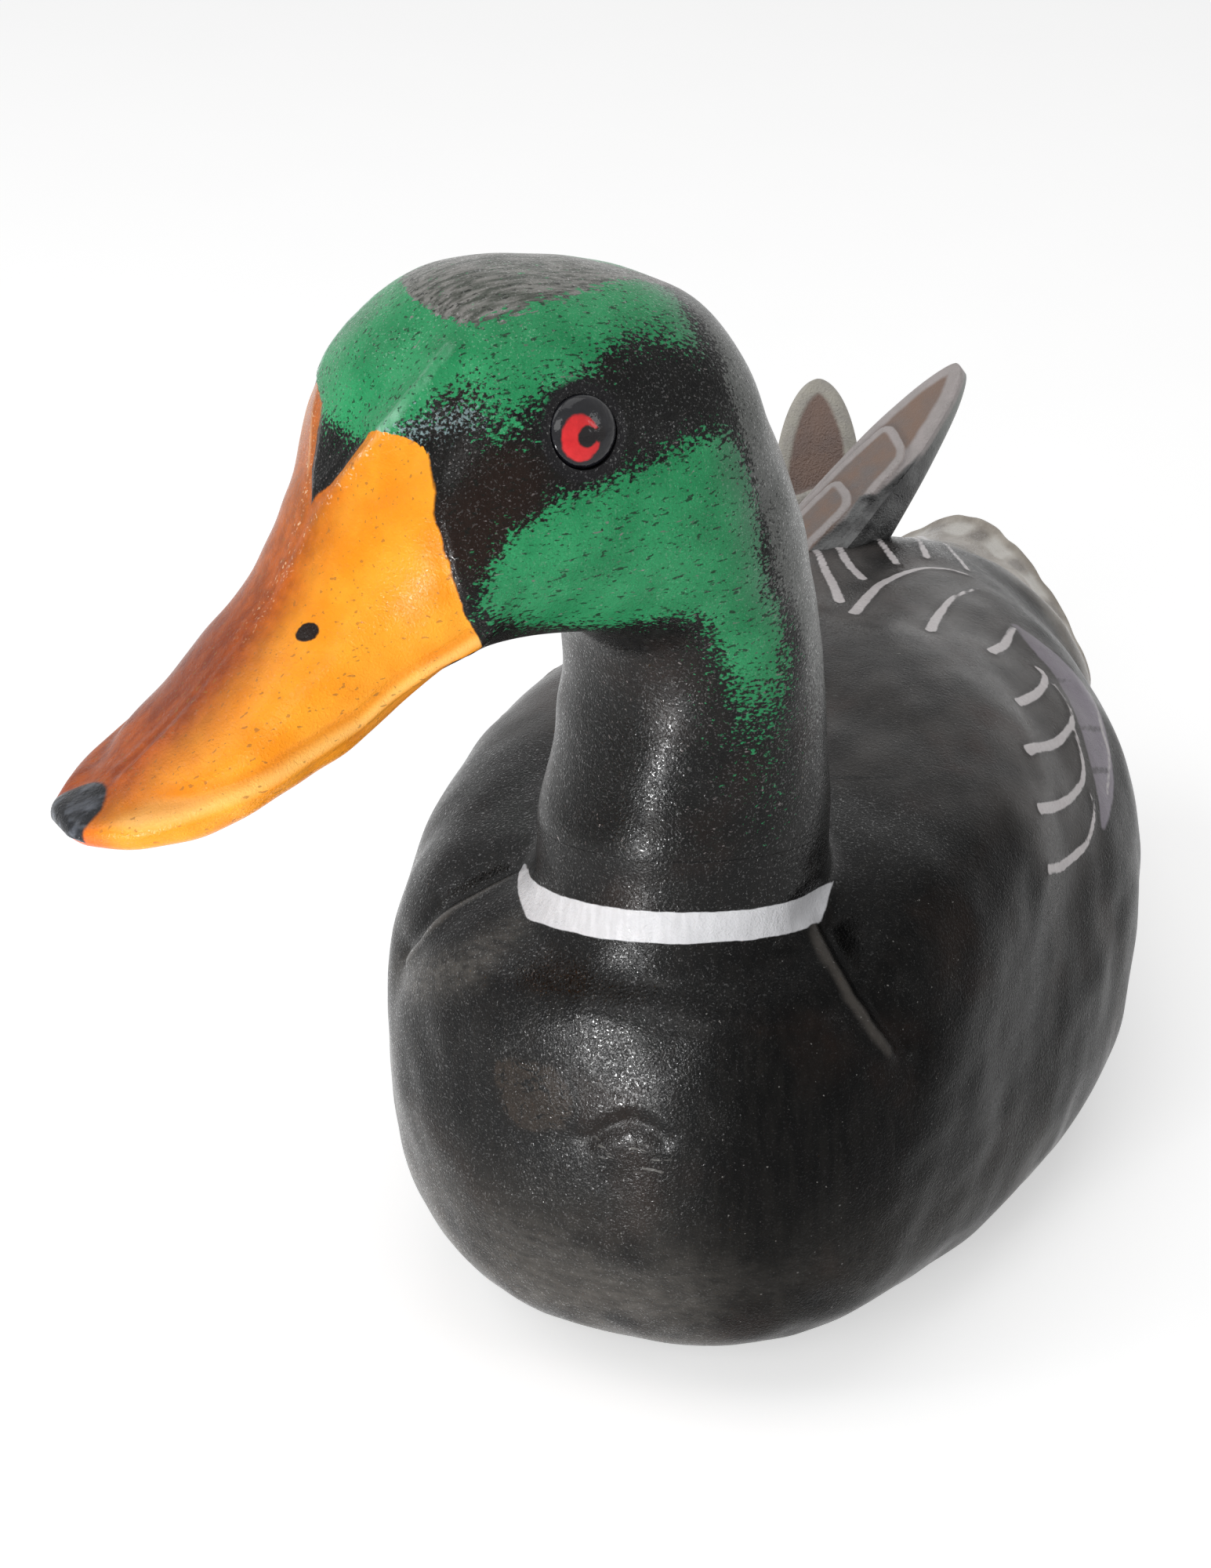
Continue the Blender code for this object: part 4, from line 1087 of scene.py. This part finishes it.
def eye_paint(name):
    n = Nodes(name)
    rear, above = n.field("across"), n.field("above")
    wobble = n.unsteady(0.5, 2)

    def disc(at, up, radius, tall=1):
        x, y = n.plus(rear, -at), n.times(n.plus(above, -up), 1 / tall)
        reach = n.math("SQRT", n.plus(n.times(x, x), n.times(y, y)))
        return n.inside(n.plus(n.plus(reach, -radius), wobble), 0.25)

    red = n.mix(n.noise(1.5, 3), (196, 20, 28), (232, 44, 48))
    n.colour = n.mix(n.noise(1.5, 3, shift=2), (10, 10, 13), (34, 34, 40))
    n.paint(disc(-1.4, -0.1, 3.5, 1.14), red)
    n.paint(disc(-0.2, 0.1, 1.9, 0.95), (14, 8, 10))
    n.paint(disc(2.1, 0, 1.3), (14, 8, 10))
    return n.finish(0.12, n.bump(n.noise(1.2, 2), 0.10), specular=0.25, coat=0.15)


def wing_tip_paint(name, border, inner, warm):
    """A pale border round each feather with a painted shadow beside it, and painted shade on the blade's
    underside and where its near side drops.
    """
    n = Nodes(name)
    field = n.mix(n.ramp(n.noise(6, 4, shift=3), 0.3, 0.7), inner, warm)
    field = n.mix(n.ramp(n.field("along"), 30, 62, 0, 0.6), field, warm)
    rim = n.mix(n.noise(3, 3), border, (150, 145, 142))
    wobble = n.unsteady(0.4, 4)
    outline = n.fall(n.plus(n.field("edge"), wobble), 2.8, 4.2)
    n.colour = n.mix(outline, field, rim)
    for feather in ("feather_1", "feather_2"):
        depth = n.plus(n.field(feather), wobble)
        laid = n.ramp(depth, -0.2, 0.2)
        line = n.times(laid, n.fall(depth, 1.6, 2.6))
        shadow = n.times(n.ramp(depth, -2.2, -0.2), n.fall(depth, -0.2, 0.1))
        n.paint(laid, field)
        n.paint(shadow, (80, 72, 70), 0.35)
        n.paint(line, rim)
    # painted shade on the underside and the dropped near side; lit is where the top shows in light
    dark = n.mix(n.ramp(n.noise(5, 4), 0.35, 0.65), (34, 34, 35), (96, 97, 97))
    dark = n.mix(n.ramp(n.field("along"), 40, 66), dark, (142, 146, 142))
    lit = n.times(n.field("top"), n.fall(n.plus(n.field("fall"), wobble), -0.3, 0.5))
    n.colour = n.mix(lit, dark, n.colour)
    relief = n.plus(lacquer_relief(n), n.times(outline, 0.8))
    return n.finish(0.36, n.bump(relief, 0.14))


def wood(name, dark, light, roughness):
    """Straight grain with dark pores, along the body."""
    n = Nodes(name)
    grain = n.noise(2.4, 5, (1, 0.07, 1), 2)
    pores = n.ramp(n.noise(0.5, 2, (1, 0.1, 1), 6), 0.62, 0.7)
    n.colour = n.mix(n.ramp(grain, 0.3, 0.7), dark, light)
    n.paint(pores, (30, 22, 16), 0.6)
    return n.finish(roughness, n.bump(n.plus(grain, n.times(pores, -0.6)), 0.15))


def metal(name, dull, bright, roughness, metallic, grain=1.5):
    n = Nodes(name)
    n.colour = n.mix(n.ramp(n.noise(6, 5), 0.3, 0.7), dull, bright)
    fine = n.noise(grain, 4, shift=4)
    rough = n.ramp(fine, 0.25, 0.75, roughness - 0.08, roughness + 0.12)
    return n.finish(rough, n.bump(fine, 0.05), metallic=metallic)


def give(obj, material):
    obj.data.materials.clear()
    obj.data.materials.append(material)


# ---------------------------------------- the scene

NEAR_TONES = (184, 174, 174), (112, 102, 98), (128, 102, 86)  # a wing tip's border, inner and warm colours
FAR_TONES = (190, 186, 172), (112, 92, 84), (122, 98, 86)
CAMERA_AZIMUTH, CAMERA_ELEVATION, CAMERA_DISTANCE = 20.1, 27.75, 0.777
CAMERA_TARGET = (-0.0401, 0, 0.077)
SENSOR_HEIGHT, LENS = 24.0, 53.81
LAMPS = {  # azimuth, elevation, distance, size and power
    "key": (0, 30, 1.4, (0.7, 0.5), 4.0),
    "low": (-10, -7, 0.42, (0.02, 0.10), 0.70),
    "left": (-65, 45, 1.5, (0.9, 0.8), 4.5),
    "right": (82, 18, 1.5, (0.4, 0.4), 1.5),
    "top": (0, 88, 1.5, (1.2, 1.2), 6),
}
WORLD_LIGHT = 0.28
FLOOR_GLOW = 0.5


def build_duck(frame):
    body = make_body()
    head, eyes = make_head()
    tips = [make_wing_tip(name, *spec) for name, spec in WING_TIPS.items()]
    give(body, body_paint())
    give(head, head_paint())
    for eye in eyes:
        give(eye, eye_paint(eye.name + "_paint"))
    for tip, tones in zip(tips, (NEAR_TONES, FAR_TONES)):
        give(tip, wing_tip_paint(tip.name + "_paint", *tones))
    for piece, node, slot in (
        (body, "body", "black_lacquered_wood"),
        (head, "head_and_neck", "green_lacquered_wood"),
        (eyes[0], "left_eye", "red_glass"),
        (eyes[1], "right_eye", "red_glass"),
        (tips[0], "right_wing_tip", "grey_lacquered_wood"),
        (tips[1], "left_wing_tip", "grey_lacquered_wood"),
    ):
        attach(piece, "decoy")
        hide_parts(node)

    board = wood("dark_sealed_wood_paint", (44, 33, 26), (78, 60, 46), 0.5)
    dowel = wood("bare_wood_paint", (150, 112, 72), (196, 156, 108), 0.7)
    lead = metal("cast_lead_paint", (104, 106, 110), (138, 140, 144), 0.5, 0.7, 0.8)
    zinc = metal("zinc_steel_paint", (168, 170, 172), (204, 206, 208), 0.32, 1)
    brass = metal("brass_wire_paint", (176, 138, 66), (214, 178, 98), 0.28, 1)
    materials = {"bottom_board": board, "neck_dowel": dowel, "ballast_pad": lead, "line_ring": brass}
    for name, node in frame["nodes"].items():
        if name in materials:
            give(node, materials[name])
        elif "screw" in name or name == "line_eye":
            give(node, zinc)


def add_object(name, data):
    obj = bpy.data.objects.new(name, data)
    bpy.context.scene.collection.objects.link(obj)
    return obj


def direction(azimuth, elevation):
    """From the duck towards an azimuth, in degrees from straight ahead to its left, and an elevation."""
    a, e = math.radians(azimuth), math.radians(elevation)
    return Vector((math.sin(a) * math.cos(e), -math.cos(a) * math.cos(e), math.sin(e)))


def light_world():
    """A white room: white behind the duck, and softer white as light."""
    n = Nodes("studio", "worlds")
    bpy.context.scene.world = n.owner
    strength = n.add("MapRange", {"Value": n.seen(), "To Min": WORLD_LIGHT, "To Max": 1}).outputs["Result"]
    room = n.add("Background", {"Color": (1, 1, 1, 1), "Strength": strength})
    n.add("OutputWorld", {"Surface": room.outputs[0]})


def add_lamp(name, azimuth, elevation, distance, size, power):
    towards = direction(azimuth, elevation)
    data = bpy.data.lights.new(name, "AREA")
    data.shape, data.energy = "RECTANGLE", power
    data.size, data.size_y = size
    lamp = add_object(name, data)
    lamp.location = Vector((0, 0, 0.10)) + towards * distance
    lamp.rotation_euler = towards.to_track_quat("Z", "Y").to_euler()
    lamp.visible_camera = False


def add_floor():
    mesh = bpy.data.meshes.new("floor")
    corners = [(-3, -3, 0), (3, -3, 0), (3, 3, 0), (-3, 3, 0)]
    mesh.from_pydata(corners, [], [(0, 1, 2, 3)])
    floor = add_object("floor", mesh)
    n = Nodes("floor_paint")
    tone = n.mix(n.noise(60, 3), (0.80, 0.80, 0.80, 1), (0.82, 0.82, 0.82, 1))
    surface = n.add("BsdfDiffuse", {"Color": tone}).outputs[0]
    glow = n.add("Emission", {"Color": (1, 1, 1, 1), "Strength": FLOOR_GLOW}).outputs[0]
    lit = n.add("AddShader", {0: surface, 1: glow}).outputs[0]
    mixed = n.add("MixShader", {0: n.seen(), 1: surface, 2: lit}).outputs[0]
    n.add("OutputMaterial", {"Surface": mixed})
    give(floor, n.owner)


def add_camera():
    back = direction(CAMERA_AZIMUTH, CAMERA_ELEVATION)
    data = bpy.data.cameras.new("camera")
    data.sensor_fit, data.sensor_height, data.lens = "VERTICAL", SENSOR_HEIGHT, LENS
    data.clip_start, data.clip_end = 0.01, 50
    camera = add_object("camera", data)
    camera.location = Vector(CAMERA_TARGET) + back * CAMERA_DISTANCE
    camera.rotation_euler = back.to_track_quat("Z", "Y").to_euler()
    bpy.context.scene.camera = camera


def main():
    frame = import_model()
    build_duck(frame)
    light_world()
    for name, lamp in LAMPS.items():
        add_lamp(name, *lamp)
    add_floor()
    add_camera()
    bpy.context.scene.view_settings.view_transform = "Standard"


main()
